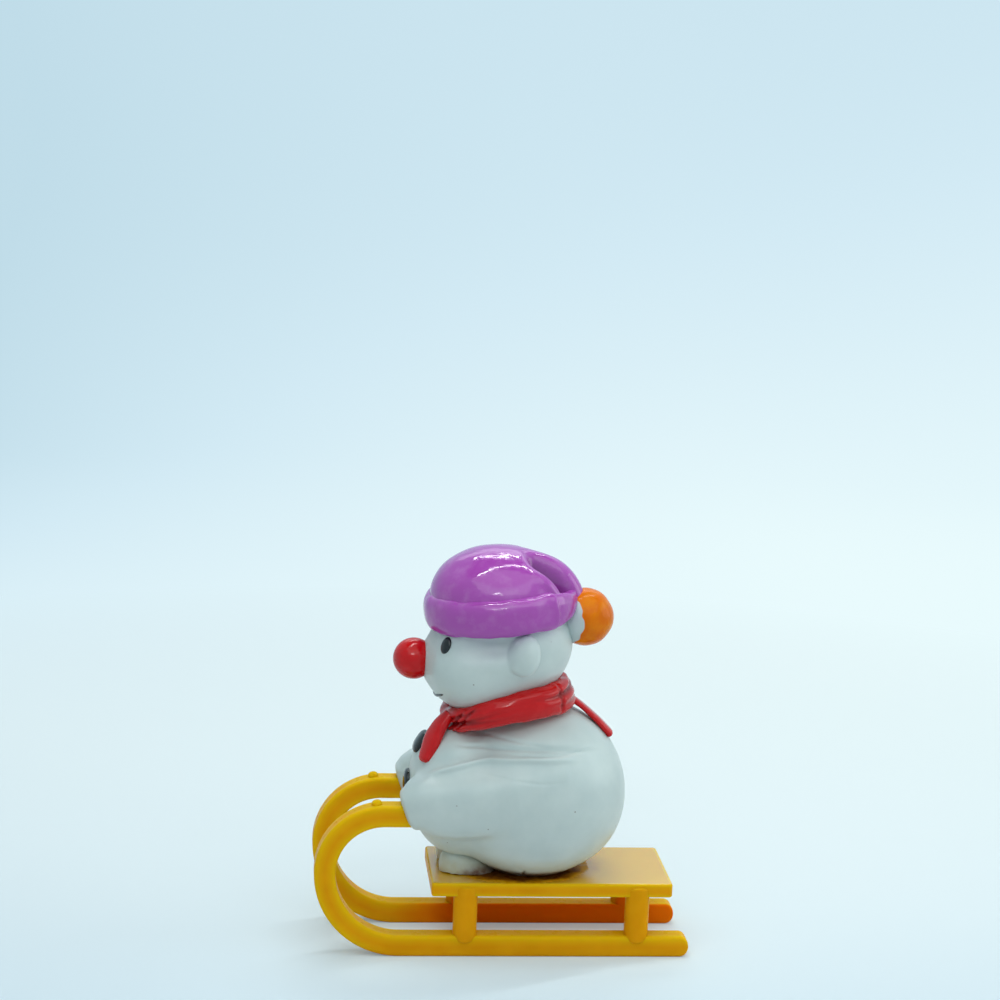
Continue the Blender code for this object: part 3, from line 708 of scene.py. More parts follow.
def bar_grid(side):
    """A bar's points. The section's x runs across the sled and its y towards the bar's outer face."""
    flat = bar_path()
    path = np.stack([flat[:, 0], np.full(len(flat), side * BAR_Y), flat[:, 1]], axis=-1)
    tangent, run = along(path)
    across = np.tile([0.0, 1.0, 0.0], (len(path), 1))
    outer = np.cross(tangent, across)
    height = end_height(run, BAR, BAR_END_ROUND)
    height = np.minimum(height, end_height(run[-1] - run, BAR, BAR_END_ROUND))
    radius = np.minimum(BAR_EDGE_ROUND, height / 2 - 0.01)
    return sweep(path, across, outer, rounded_box(np.full(len(path), BAR), height, radius))


SIDES = (("left", -1), ("right", 1))
for side_name, side in SIDES:
    grid = bar_grid(side)
    # Painted edge light along the bar's edges, held back near the ground.
    painted_light_share = EDGE_LIGHT_SHARES * ease(grid[..., 2], *BAR_EDGE_LIGHT_FADE)
    node = f"runner_{side_name}"
    surface(f"bar_{side_name}", grid, YELLOW, SLED_BODY, [node], painted_light_share=painted_light_share)

# %% [markdown]
# ## Gate nubs
#
# Where the plastic ran into each side frame, a small stub was left on the horn when it was snapped off
# its tree. It is a rounded lump about a millimetre wide, sunk into the bar. A sphere would look like a
# bead, so a squared egg is used, and it gets the painted edge light all over, as its thin plastic lets
# light through everywhere.

# %% Gate nubs
NUB_HALF = (0.8, 0.8, 0.7)
NUB_X = -19.2
NUB_POWER = 2.3
nub_radius = LOOP_UPPER_RADIUS + BAR / 2
nub_turn = math.acos((NUB_X - UPPER_X) / nub_radius)
nub_normal = np.array([math.cos(nub_turn), 0, math.sin(nub_turn)])
for side_name, side in SIDES:
    nub_middle = np.array([UPPER_X, side * BAR_Y, LOOP_Z]) + nub_radius * nub_normal
    grid = lump(nub_middle, frame_on(nub_normal, (1, 0, 0)), NUB_HALF, 24, 36, NUB_POWER)
    # Painted edge light over the whole nub.
    painted_light_share = np.ones(grid.shape[:2])
    surface(f"gate_nub_{side_name}", grid, YELLOW, SLED_BODY, painted_light_share=painted_light_share)

# %% [markdown]
# ## The deck
#
# The deck is a plain moulded plate. A cube with a Bevel modifier would do, but rings that step from the
# middle of the top, over the round edge and down to the middle of the bottom make the same plate with
# a fine, even grid. It keeps the pale reflection on its top clean, and lets the polished finish stop at
# the patch of dirt and painted shade round the seat, which is matt: each small face that looks up and
# lies outside it gets the polished one.

# %% Deck
DECK_EDGE_ROUND = 0.3
DECK_CORNER_ROUND = 0.55
DECK_RINGS = 24
DECK_CUTS = 10
DECK_EDGE_STEPS = 7
POLISH_START = 1.22
POLISH_LEVEL = 0.95


def cut_finer(plan):
    """Outlines whose straight runs are cut into shorter steps: each point is a share between two."""
    cuts = np.tile([1] * (CORNER_POINTS - 1) + [DECK_CUTS] * (len(FACE_SHARES) + 1), 4)
    start = np.repeat(np.arange(len(cuts)), cuts)
    share = np.concatenate([np.arange(count) / count for count in cuts])[:, None]
    return plan[:, start] * (1 - share) + np.roll(plan, -1, axis=1)[:, start] * share


def plate_grid(low, high, edge, corner):
    """A plate and its rim. Ring k is the round-cornered outline, drawn in by an inset, at a height."""
    quarter = np.linspace(0, np.pi / 2, DECK_EDGE_STEPS)
    middle = (low + high) / 2
    size = high - low
    edge_inset = edge * (1 - np.sin(quarter))
    edge_drop = edge * (1 - np.cos(quarter))
    face_inset = edge + np.linspace(0.98, 0.03, DECK_RINGS) * (size[1] / 2 - edge)
    side = np.array([0.15, 0.5, 0.85])
    side_height = high[2] - edge - side * (size[2] - 2 * edge)
    inset = np.concatenate([face_inset, edge_inset, 0 * side, edge_inset[::-1], face_inset[::-1]])
    top, bottom = np.full(DECK_RINGS, high[2]), np.full(DECK_RINGS, low[2])
    height = np.concatenate([top, high[2] - edge_drop, side_height, low[2] + edge_drop[::-1], bottom])
    # Painted edge light: full on the round edge, some on each face's outermost ring and on the side.
    face_light_shares = np.append(np.zeros(DECK_RINGS - 1), 0.4)
    edge_light_shares = np.ones(DECK_EDGE_STEPS)
    painted_light_share = np.concatenate([face_light_shares, edge_light_shares, [0.5, 0.0, 0.3], edge_light_shares, face_light_shares[::-1]])
    plan = rounded_box(size[0] - 2 * inset, size[1] - 2 * inset, np.maximum(corner - inset, 0.02))
    plan = cut_finer(plan)
    grid = np.zeros((*plan.shape[:2], 3))
    grid[..., :2] = plan + middle[:2]
    grid[..., 2] = height[:, None]
    return grid, np.tile(painted_light_share[:, None], (1, grid.shape[1]))


def polish_top(piece, material):
    """The faces that look straight up, except those in the patch of dirt and painted shade, get the
    polished finish.
    """
    mesh = piece.data
    mesh.materials.append(material)
    normals, centres = np.zeros(len(mesh.polygons) * 3), np.zeros(len(mesh.polygons) * 3)
    mesh.polygons.foreach_get("normal", normals)
    mesh.polygons.foreach_get("center", centres)
    x, y = centres[0::3] / MM, centres[1::3] / MM
    clean = np.hypot((x - DIRT_AND_SHADE_MIDDLE_X) / DIRT_AND_SHADE_HALF[0], y / DIRT_AND_SHADE_HALF[1]) > POLISH_START
    polished = clean & (normals[2::3] > POLISH_LEVEL)
    mesh.polygons.foreach_set("material_index", polished.astype(np.int32))
    mesh.update()
    print(piece.name, "has", int(polished.sum()), "polished faces")


deck_grid, deck_light_shares = plate_grid(deck_low, deck_high, DECK_EDGE_ROUND, DECK_CORNER_ROUND)
deck_piece = surface("deck_plate", deck_grid, YELLOW, SLED_BODY, ["deck"], painted_light_share=deck_light_shares)
polish_top(deck_piece, YELLOW_TOP)

# %% [markdown]
# ## The four posts
#
# The posts are moulded with the side frames. Seen from the side, each has a rounded foot that laps over
# the bar's side, and a rounded head that shows on the deck's edge. A cylinder would end flat, so rings
# of a squared circle shrink along the sled at both ends and stay almost full across it.

# %% Posts
POST_LAP = 1.0
POST_PROUD = 0.4
POST_ROUND = 1.1
POST_HEAD_SHARE = 0.4
POST_EDGE = 0.35
POST_POWER = 2.4
POST_STEPS = 14
POST_AROUND = 56


def post_grid(x, y, low_z, high_z, half):
    """Rings of a squared circle, with a near half circle at the foot and a flatter one at the head."""
    quarter = np.linspace(0, np.pi / 2, POST_STEPS)
    rise = POST_ROUND * (1 - np.cos(quarter))
    length = 1 - POST_ROUND / half * (1 - np.sin(quarter))
    width = 1 - (POST_EDGE - np.sqrt(POST_EDGE**2 - np.maximum(POST_EDGE - rise, 0) ** 2)) / half
    height = np.concatenate([low_z + rise, high_z - POST_HEAD_SHARE * rise[::-1]])
    size = np.stack([np.append(length, length[::-1]), np.append(width, width[::-1])], axis=-1)
    ring = oval(POST_AROUND, POST_POWER) * half
    grid = np.zeros((len(height), len(ring), 3))
    grid[..., :2] = size[:, None] * ring + (x, y)
    grid[..., 2] = height[:, None]
    return grid


for node in ("post_front_left", "post_front_right", "post_rear_left", "post_rear_right"):
    post_low, post_high = box_mm(node)
    post_middle = (post_low + post_high) / 2
    outer_y = math.copysign(deck_high[1] + POST_PROUD, post_middle[1])
    post_half = (post_high[0] - post_low[0]) / 2
    post_y = outer_y - math.copysign(post_half, post_middle[1])
    grid = post_grid(post_middle[0], post_y, BAR - POST_LAP, post_high[2], post_half)
    surface(node + "_round", grid, YELLOW, SLED_BODY, [node])

# %% [markdown]
# ## Trunk and arms
#
# Belly, chest, arms and hands are one moulding. The arms lie along the sides, with a crease above them
# that fades out towards the back, and run out into blunt hands that stand a little ahead of the chest.
# Metaballs could melt such lumps too, but a field of distances lets each joint have its own fillet:
# wide at the chest, tight along the arms.

# %% Where the arms lie
CHEST_HALF = (8.0, 10.5, 10.6)
CHEST_ABOVE_BELLY = 0.8
CHEST_BACK = 0.9
CHEST = np.array([trunk_low[0] + CHEST_HALF[0] + CHEST_BACK, 0, BELLY[2] + CHEST_ABOVE_BELLY])
CHEST_FILLET = 1.5
HAND_GRIP = 3.0
HAND_END_ROUND = 1.3
HAND = np.array([HORN_TIP_X - HAND_GRIP + HAND_END_ROUND, BAR_Y, HORN_Z + 0.8])
HAND_SLANT = 0.35
HAND_LENGTH = 6
SHOULDER = BELLY + (3.15, 8.9, 3.5)
ARM_PLACES = (0.0, 0.06, 0.14, 0.25, 0.38, 0.55, 0.72, 0.87, 1.0)
ARM_HALF_WIDTHS = (2.8, 3.2, 3.6, 3.9, 4.3, 4.6, 4.7, 4.0, 2.6)
ARM_HALF_HEIGHTS = (2.9, 3.9, 4.9, 5.8, 6.3, 6.4, 6.0, 4.9, 3.2)
ARM_POWER = 2.9
ARM_FILLET = 0.9
print("hand", HAND.round(1), "shoulder", SHOULDER.round(1), "chest", CHEST.round(1))


# %% Body field
def arm_field(points):
    """Distance from the two arms.

    The nearest place along the hand-to-shoulder line sets the section's half sizes, and the point's
    offset over those half sizes is its distance in units of the section.
    """
    folded = folded_sides(points)
    in_hand = 1 - ease(folded[..., 0], HAND[0], HAND[0] + HAND_LENGTH)
    slant = HAND_SLANT * (folded[..., 2] - HAND[2]) * in_hand
    folded = folded + slant[..., None] * (1, 0, 0)
    line = SHOULDER - HAND
    share = np.clip((folded - HAND) @ line / (line @ line), 0, 1)
    half_width = np.interp(share, ARM_PLACES, ARM_HALF_WIDTHS)
    half_height = np.interp(share, ARM_PLACES, ARM_HALF_HEIGHTS)
    offset = np.abs(folded - (HAND + share[..., None] * line))
    half = np.stack([np.full(share.shape, HAND_END_ROUND), half_width, half_height], axis=-1)
    size = np.sum((offset / half) ** ARM_POWER, axis=-1) ** (1 / ARM_POWER)
    return (size - 1) * np.minimum(half_width, half_height)


def body_field(points):
    """Distance from the trunk with its arms, tucked in near the seat and cut flat there."""
    depth = np.clip((BELLY[2] - points[..., 2:]) / (BELLY[2] - SEAT), 0, 1)
    tucked = BELLY + (points - BELLY) * (1 + SEAT_TUCK * depth**6 * (1, 1, 0))
    trunk = melt(egg(tucked, BELLY, BELLY_HALF), egg(points, CHEST, CHEST_HALF), CHEST_FILLET)
    return np.maximum(melt(trunk, arm_field(points), ARM_FILLET), SEAT - points[..., 2])


# %% [markdown]
# ## Marks on the body
#
# The upper edge of each sleeve is a raised ridge with a crease above it. The side that faces the camera
# has a few wavy tool scratches, and the mould's seam shows as a small notch at the seat. A bump in the
# material would look flat at the outline, so these marks move the points of the skin itself: each is a
# soft line, added to the distance from the body's middle.

# %% Body
BODY_MIDDLE = np.array([0.0, 0.0, 23.0])
BODY_SHARP = 50.0
RIDGE_X = (-13.0, -10.0, -7.5, -2.4, 2.7, 7.0, 12.0)
RIDGE_Z = (27.3, 28.8, 29.7, 30.85, 31.3, 31.35, 31.2)
RIDGE_HEIGHT = 0.5
RIDGE_WIDTH = 0.38
CREASE_SHARE = 0.7
CREASE_ABOVE = 1.2
CREASE_WIDTH = 0.8
SCRATCH_WIDTH = 0.2
SCRATCH_WAVE = 3.1
# height, slope, wave height, wave start, first x, last x, depth
SCRATCHES = (
    (32.5, -0.01, 0.30, 0.4, -9.0, 15.0, 0.24),
    (33.4, -0.05, 0.25, 1.9, -6.0, 12.0, 0.16),
    (31.9, 0.03, 0.2, 3.0, -2.0, 13.0, 0.2),
    (28.6, -0.02, 0.3, 3.0, -6.0, 9.0, 0.07),
    (20.3, 0.01, 0.2, 1.0, -11.0, -2.0, 0.06),
)
SEAM_X = 3.1
SEAM_SIZE = 0.25


def body_marks(x, y, z):
    """How far the marks lift the skin at each point, below zero where they cut in."""
    ridge_z = np.interp(x, RIDGE_X, RIDGE_Z)
    span = ease(x, -14.0, -10.0) * (1 - ease(x, 4.0, 12.0)) * ease(np.abs(y), 5.0, 8.0)
    crease = CREASE_SHARE * line_on(z, ridge_z + CREASE_ABOVE, CREASE_WIDTH)
    lift = span * RIDGE_HEIGHT * (line_on(z, ridge_z, RIDGE_WIDTH) - crease)
    for line_z, slope, wave, phase, start, end, deep in SCRATCHES:
        middle = line_z + slope * x + wave * np.sin(x / SCRATCH_WAVE + phase)
        part = ease(x, start, start + 4) * (1 - ease(x, end - 4, end)) * (y < -2)
        lift -= deep * part * line_on(z, middle, SCRATCH_WIDTH)
    at_seat = (1 - ease(z, SEAT + 1.4, SEAT + 2.2)) * ease(z, SEAT, SEAT + 0.2)
    return lift - SEAM_SIZE * line_on(x, SEAM_X, SEAM_SIZE) * at_seat


def body_grid(rows, columns):
    """The body's skin with its marks."""
    ways = all_ways(rows, columns)
    radius = radii(body_field, BODY_MIDDLE, ways)
    lift = body_marks(*np.moveaxis(BODY_MIDDLE + ways * radius[..., None], -1, 0))
    return BODY_MIDDLE + ways * (radius + lift)[..., None]


body_nodes = ["trunk", "arm_left", "arm_right"]
grid = body_grid(240, 380)
body = surface("body_skin", grid, WHITE, FIGURE_BODY, body_nodes, sharp=BODY_SHARP)

# %% [markdown]
# ## Sockets in the hands
#
# Each hand is pressed onto a horn, so it has a square hole as deep as the horn goes in. It only shows
# when the figure slides back, but then it has to be a real hole. Two boxes are taken out of the skin
# with a Boolean, which is applied at once so that the finished mesh is what rides.

# %% Hand sockets
SOCKET_GAP = 0.1


def square_tool(side):
    """A box as a mesh, a little wider than the horn and as deep as its tip reaches."""
    half = BAR / 2 + SOCKET_GAP
    run = np.array([HORN_TIP_X + SOCKET_GAP, HORN_TIP_X - 2 * HAND_GRIP])
    path = np.stack([run, np.full(2, side * BAR_Y), np.full(2, HORN_Z)], axis=-1)
    across, upright = np.tile([0.0, 1.0, 0.0], (2, 1)), np.tile([0.0, 0.0, 1.0], (2, 1))
    corners = np.array([[1, 1], [-1, 1], [-1, -1], [1, -1]]) * half
    grid = sweep(path, across, upright, np.tile(corners, (2, 1, 1)))
    return surface(f"socket_tool_{side}", grid, WHITE, FIGURE_BODY)


def take_out(piece, tools):
    """Takes tools out of a piece for good, then deletes them."""
    for tool in tools:
        cut = piece.modifiers.new("socket", "BOOLEAN")
        cut.operation = "DIFFERENCE"
        cut.solver = "EXACT"
        cut.object = tool
    graph = bpy.context.evaluated_depsgraph_get()
    graph.update()
    cut_mesh = bpy.data.meshes.new_from_object(piece.evaluated_get(graph))
    piece.modifiers.clear()
    old = piece.data
    piece.data = cut_mesh
    cut_mesh.name = old.name + "_cut"
    bpy.data.meshes.remove(old)
    for tool in tools:
        bpy.data.objects.remove(tool)
    cut_mesh.set_sharp_from_angle(angle=math.radians(BODY_SHARP))
    print(piece.name, "now has", len(cut_mesh.polygons), "faces")


take_out(body, [square_tool(side) for _, side in SIDES])

# %% [markdown]
# ## Feet
#
# Two stub feet stick out under the belly. They are soft wedges, high at the toe and flat below. A
# scaled sphere has no flat sole, so each is an egg that slants down to its heel and is cut at the seat
# like the body.

# %% Feet
FOOT_HALF = (5.6, 2.5, 4.6)
FOOT_SINK = 0.5
FOOT_AHEAD = 0.4
FOOT_SLANT = 0.62
foot_ways = all_ways(60, 90)


def foot_grid(middle):
    """The skin of one foot: an egg, lower towards its heel, above the seat only."""

    def foot_field(points):
        """Distance from the foot."""
        slant = FOOT_SLANT * (points[..., :1] - middle[0] + FOOT_HALF[0] / 2)
        skin = egg(points + slant * (0, 0, 1), middle, FOOT_HALF)
        return np.maximum(skin, SEAT - points[..., 2])

    start = middle + (0, 0, 1.5)
    return start + foot_ways * radii(foot_field, start, foot_ways, 8.0)[..., None]


for side_name, _ in SIDES:
    node = f"foot_{side_name}"
    foot_low, foot_high = box_mm(node)
    foot_y = (foot_low[1] + foot_high[1]) / 2
    grid = foot_grid(np.array([foot_low[0] + FOOT_HALF[0] - FOOT_AHEAD, foot_y, SEAT - FOOT_SINK]))
    surface(f"{node}_skin", grid, WHITE, FIGURE_BODY, [node], sharp=BODY_SHARP)

# %% [markdown]
# ## Head and ears
#
# The head is a soft round block with a fuller jaw, plain cheeks and two flat round ears. Its face is
# any snowman's, calm and even, and the brow is a shallow hollow under the hat, which gives the light
# something to turn on. It could be sculpted, but like the body it is a field of melted eggs, because
# its forms are as soft and have to meet as smoothly.

# %% Head and ears
CRANIUM_HALF = (10.6, 9.8, 9.5)
JAW_HALF = (8.5, 8.8, 7.0)
CHEEK_HALF = (4.6, 4.0, 3.9)
COLLAR_HALF = (2.8, 3.3, 3.3)
BROW_HALF = (7.4, 3.6, 2.6)
CRANIUM = np.array([head_high[0] - CRANIUM_HALF[0], 0, 46.7])
JAW = CRANIUM + (-3.0, 0, -4.0)
CHEEK = JAW + (-2.6, 4.6, 0.6)
BROW = CRANIUM + (-3.6, 11.4, 1.6)
HEAD_MIDDLE = (CRANIUM + JAW) / 2
nose_low, nose_high = box_mm("nose")
NOSE_RADIUS = (nose_high[2] - nose_low[2]) / 2
NOSE = np.array([nose_low[0] + NOSE_RADIUS, 0, (nose_low[2] + nose_high[2]) / 2])
COLLAR = NOSE + (3.9, 0, 0.1)


def bare_head(points):
    """Distance from cranium and jaw with cheeks, brow and the collar behind the nose."""
    folded = folded_sides(points)
    form = melt(egg(points, CRANIUM, CRANIUM_HALF), egg(points, JAW, JAW_HALF), 2.0)
    form = melt(form, egg(folded, CHEEK, CHEEK_HALF), 1.8)
    form = melt(form, egg(points, COLLAR, COLLAR_HALF), 1.6)
    return hollow(form, egg(folded, BROW, BROW_HALF), 1.8)


EAR_HALF = (3.1, 2.5, 1.4)
EAR_OUT = 0.55
EAR_LEAN = (-0.65, 0, 0.0)
EAR_CREASE = 0.45
ear_point, ear_normal = skin_points(bare_head, HEAD_MIDDLE, [-113.0], [11.0])
ear_middle = ear_point[0] + ear_normal[0] * EAR_OUT
ear_out = ear_normal[0] + EAR_LEAN
ear_turn = frame_on(ear_out / np.linalg.norm(ear_out), (0, 0, 1))


def head_field(points):
    """Distance from the head with its ears, which keep a tight crease behind them."""
    ears = egg(folded_sides(points), ear_middle, EAR_HALF, ear_turn)
    return melt(bare_head(points), ears, EAR_CREASE)


head_ways = all_ways(220, 360)
head_grid = HEAD_MIDDLE + head_ways * radii(head_field, HEAD_MIDDLE, head_ways, 16.0)[..., None]
head_nodes = ["head", "ear_left", "ear_right"]
surface("head_skin", head_grid, WHITE, FIGURE_BODY, head_nodes, sharp=60.0)

# %% [markdown]
# ## Nose, eyes and mouth
#
# The nose is a glossy red ball, painted down to the white collar behind it. The eyes are black ovals
# that stand a hair proud of the face, and the mouth is one thin painted line in a gentle smile. A curve
# could draw it, but its points must lie on the skin, so rays find the skin along a bow of directions,
# and a thin tube follows them.

# %% Face
EYE_BEARING = 39.0
EYE_CLIMB = 15.0
EYE_HALF = (1.3, 0.95, 0.45)
nose_grid = lump(NOSE, np.eye(3), [NOSE_RADIUS] * 3, 60, 90)
surface("nose_ball", nose_grid, RED, FIGURE_BODY, ["nose"])
for side_name, side in SIDES:
    points, normals = skin_points(head_field, HEAD_MIDDLE, [-side * EYE_BEARING], [EYE_CLIMB])
    grid = lump(points[0], frame_on(normals[0], (0, 0, 1)), EYE_HALF, 36, 60)
    node = f"eye_{side_name}"
    surface(f"{node}_oval", grid, BLACK, FIGURE_BODY, [node])

MOUTH_HALF_BEARING = 36.0
MOUTH_CLIMB = -37.0
MOUTH_BOW = 8.0
MOUTH_THICKNESS = 0.5
share = np.linspace(-1, 1, 60)
mouth_climb = MOUTH_CLIMB + MOUTH_BOW * share**2
path, normals = skin_points(head_field, HEAD_MIDDLE, share * MOUTH_HALF_BEARING, mouth_climb)
tangent, _ = along(path)
size = MOUTH_THICKNESS / 2 * np.sqrt(np.clip(1 - share**6, 0.02, 1))
grid = sweep(path, np.cross(normals, tangent), normals, oval(14)[None] * size[:, None, None])
surface("mouth_line", grid, BLACK, FIGURE_BODY)

# %% [markdown]
# ## The hat's crown and its folded tip
#
# The hat is a knitted cap in shape, but on the toy it is smooth and painted. Its crown is a flat dome,
# and the tip folds over to the back and hangs down to the pompom, with a soft valley between them. The
# tip is a row of balls along a bend, so close together that they read as one tube, melted to the dome
# with a narrow fillet. A subdivided cage could be pulled into this shape too, but the fold's place is
# easier to set as an arc in side view.

# %% Hat
HAT_TILT = math.radians(7.0)
CROWN_HALF = (10.3, 10.0, 7.6)
CROWN = CRANIUM + (-0.6, 0, 6.8)
CUFF_MIDDLE = CRANIUM + (0, 0, 5.65)
CUFF_UP = np.array([-math.sin(HAT_TILT), 0, math.cos(HAT_TILT)])
pom_low, pom_high = box_mm("pompom")
POM_RADIUS = (pom_high[1] - pom_low[1]) / 2
POM = np.array([pom_high[0] - POM_RADIUS, 0, 50.5])
TAIL_START = CROWN + (2.0, 0, 3.0)
TAIL_BEND = CROWN + (9.0, 0, 4.7)
TAIL_END = POM + (-2.2, 0, 1.0)
TAIL_RADII = (3.6, 2.6)
TAIL_BALLS = 22
TAIL_FILLET = 1.0
FOLD_MIDDLE = CRANIUM + (-0.1, 0, 4.0)
FOLD_RADIUS = 9.1
FOLD_DEPTH = 2.6
FOLD_RIDGE = 0.4
FOLD_WALL = (-0.3, 0.9)
FOLD_FLOOR = 0.9


def hat_field(points):
    """Distance from the crown and the tip, cut off inside the cuff."""
    dome = egg(points, CROWN, CROWN_HALF)
    dome = np.maximum(dome, (CUFF_MIDDLE - points) @ CUFF_UP)
    tail = np.full(points.shape[:-1], 99.0)
    for share in np.linspace(0, 1, TAIL_BALLS):
        ball = TAIL_START * (1 - share) ** 2 + 2 * TAIL_BEND * share * (1 - share) + TAIL_END * share**2
        radius = TAIL_RADII[0] + (TAIL_RADII[1] - TAIL_RADII[0]) * share
        tail = np.minimum(tail, np.linalg.norm(points - ball, axis=-1) - radius)
    return melt(dome, tail, TAIL_FILLET)


def hat_grid(rows, columns):
    """The hat's skin with a fold down each side, and the fold's share at each point, which darkens the
    paint there as painted shade.

    Seen from the side the fold is an arc. Ahead of it the crown's edge is raised, and right behind it
    the skin drops into a valley that runs out towards the tip.
    """
    ways = all_ways(rows, columns)
    radius = radii(hat_field, CROWN, ways, 18.0)
    skin = CROWN + ways * radius[..., None]
    gap = np.hypot(skin[..., 0] - FOLD_MIDDLE[0], skin[..., 2] - FOLD_MIDDLE[2]) - FOLD_RADIUS
    x, y, z = np.moveaxis(ways, -1, 0)
    span = ease(skin[..., 0], 1.0, 5.2) * ease(np.abs(skin[..., 1]), 0.6, 3.2)
    run_out = np.exp(-((np.maximum(gap - FOLD_WALL[1], 0) / FOLD_FLOOR) ** 2))
    valley = ease(gap, *FOLD_WALL) * run_out
    lift = span * (FOLD_RIDGE * line_on(gap, -0.7, 0.6) - FOLD_DEPTH * valley)
    bearing = np.arctan2(np.abs(y), -x)
    lumps = 0.10 * np.sin(3 * bearing + 0.8) + 0.06 * np.sin(7 * y + 9 * z) * np.cos(5 * x)
    return CROWN + ways * (radius + lift + lumps * (1 - z**4))[..., None], span * valley


hat_skin, fold_shade = hat_grid(200, 320)
hat_nodes = ["hat_crown", "hat_tip"]
# The fold's share darkens the paint there as painted shade.
surface("hat_dome", hat_skin, PURPLE, FIGURE_BODY, hat_nodes, sharp=60.0, painted_light_share=fold_shade)

# %% [markdown]
# ## The turned-up cuff
#
# The cuff is a thick roll round the head, tipped down a little at the front. Its paint runs unevenly at
# the lower edge, and at the back it ends in a ridge, past which only a thin lip goes on. A torus has
# the same section all the way, so this is a ring swept round an oval, with a squared section that
# swells and shrinks with the angle.

# %% Cuff
cuff_low, cuff_high = box_mm("hat_cuff")
CUFF_THICK = 3.5
CUFF_TALL = 5.5
CUFF_LENGTH = 23.9
CUFF_WIDTH = cuff_high[1] - cuff_low[1]
CUFF_LIP_THICK = 0.58
CUFF_LIP_TALL = 0.68
CUFF_END_ANGLE = 50.0
CUFF_END_RIDGE = 0.22


def ring_frame(middle, length, width, tilt, count, side_rise=0.0):
    """Stations of an oval ring: path, outward and upward vectors, and degrees from the back."""
    angle = np.linspace(0, 2 * np.pi, count, endpoint=False)
    flat = [length / 2 * np.cos(angle), width / 2 * np.sin(angle), side_rise * np.sin(angle) ** 2]
    out = np.stack([np.cos(angle), np.sin(angle), 0 * angle], axis=-1)
    up = np.tile([0.0, 0.0, 1.0], (count, 1))
    c, s = math.cos(tilt), math.sin(tilt)
    turn = np.array([[c, 0, -s], [0, 1, 0], [s, 0, c]])
    return middle + np.stack(flat, axis=-1) @ turn.T, out @ turn.T, up @ turn.T, np.degrees(angle)


def cuff_grid(count=420):
    """The cuff's ring. Its section's x runs outward and its y upward."""
    length, width = CUFF_LENGTH - CUFF_THICK, CUFF_WIDTH - CUFF_THICK
    path, out, up, angle = ring_frame(CUFF_MIDDLE, length, width, HAT_TILT, count)
    from_back = np.minimum(angle, 360 - angle)
    full = ease(from_back, CUFF_END_ANGLE - 2.5, CUFF_END_ANGLE + 2.5)
    broad = ease(from_back, CUFF_END_ANGLE - 32, CUFF_END_ANGLE + 2)
    ridge = line_on(from_back, CUFF_END_ANGLE + 3, 3.0)
    radian = np.radians(angle)
    wave = 0.05 * np.sin(7 * radian + 1) + 0.04 * np.sin(13 * radian + 2.2) + 0.03 * np.sin(23 * radian)
    thick = CUFF_THICK / 2 * (CUFF_LIP_THICK + (1 - CUFF_LIP_THICK) * full)
    thick = thick + CUFF_END_RIDGE * ridge + 0.4 * wave
    tall = CUFF_TALL / 2 * (CUFF_LIP_TALL + 0.06 * full + 0.26 * broad) + wave
    sections = oval(48, 2.5)[None] * np.stack([thick, tall], axis=-1)[:, None]
    sections[..., 1] -= (0.1 * (1 - broad) + 0.2 * (1 - full))[:, None]
    return sweep(path, out, up, sections)


cuff_ring = cuff_grid()
surface("cuff_roll", cuff_ring, PURPLE, FIGURE_BODY, ["hat_cuff"], ring=True, sharp=60.0)

# %% [markdown]
# ## Pompom
#
# The pompom is a smooth ball whose back half is painted orange. The brush stopped at a wavy line, and
# the rest is bare white plastic. Two pieces would leave a step that isn't there, so one ball carries
# both, and the material sets the line from the ball's own coordinates: x plus a bow in z, with a little
# noise for the brush.

# %% Pompom
ORANGE_MEAN = (0.80, 0.20, 0.003)
ORANGE_THICK = (0.78, 0.17, 0.002)
ORANGE_THIN = (0.84, 0.25, 0.004)
BRUSH_BOW = 62.0
BRUSH_WANDER = 0.4
BRUSH_EDGE = 0.06


def pompom_paint():
    """Orange paint behind a wavy line, bare white plastic ahead of it."""
    made = finish("pompom_orange_paint", ORANGE_MEAN, 0.16, Specular_IOR_Level=0.12)
    place = axes(made, object_place(made))
    above = reckon(made, "SUBTRACT", place["Z"], (POM[2] - 0.6) * MM)
    line = reckon(made, "ADD", place["X"], times(made, above, above, BRUSH_BOW))
    wander = patchy(made, 2.6, 1.0, -BRUSH_WANDER * MM, BRUSH_WANDER * MM)
    line = reckon(made, "ADD", line, wander)
    edge = POM[0] - 0.95
    painted = ranged(made, line, (edge - BRUSH_EDGE) * MM, (edge + BRUSH_EDGE) * MM)
    cover = ranged(made, noise(made, 1.8, 4.0), 0.42, 0.72)
    orange = mixed(made, cover, ORANGE_THICK, ORANGE_THIN)
    use(made, "Base Color", mixed(made, painted, WHITE_MEAN, orange))
    use(made, "Roughness", ranged(made, painted, 0.0, 1.0, 0.34, 0.18))
    raise_by(made, noise(made, 1.5, 2.0), 0.03)
    return made


ORANGE = pompom_paint()
pom_ways = all_ways(90, 140)
pom_lumps = 0.06 * np.sin(4 * pom_ways[..., 0] * 2 + 1) * np.cos(5 * pom_ways[..., 2])
pom_grid = POM + pom_ways * (POM_RADIUS + pom_lumps - 0.05)[..., None]
surface("pompom_ball", pom_grid, ORANGE, FIGURE_BODY, ["pompom"])

# %% [markdown]
# ## The scarf's band
#
# The scarf goes round the neck, higher and taller at the back. It is modelled as if of soft cloth, but
# it is stiff plastic, so nothing has to be simulated: the band is swept round an oval like the cuff,
# three creases along it drift up and down as they go round, and a few short folds cross it. They get
# painted shade, so the depth of a fold is also its painted light share.

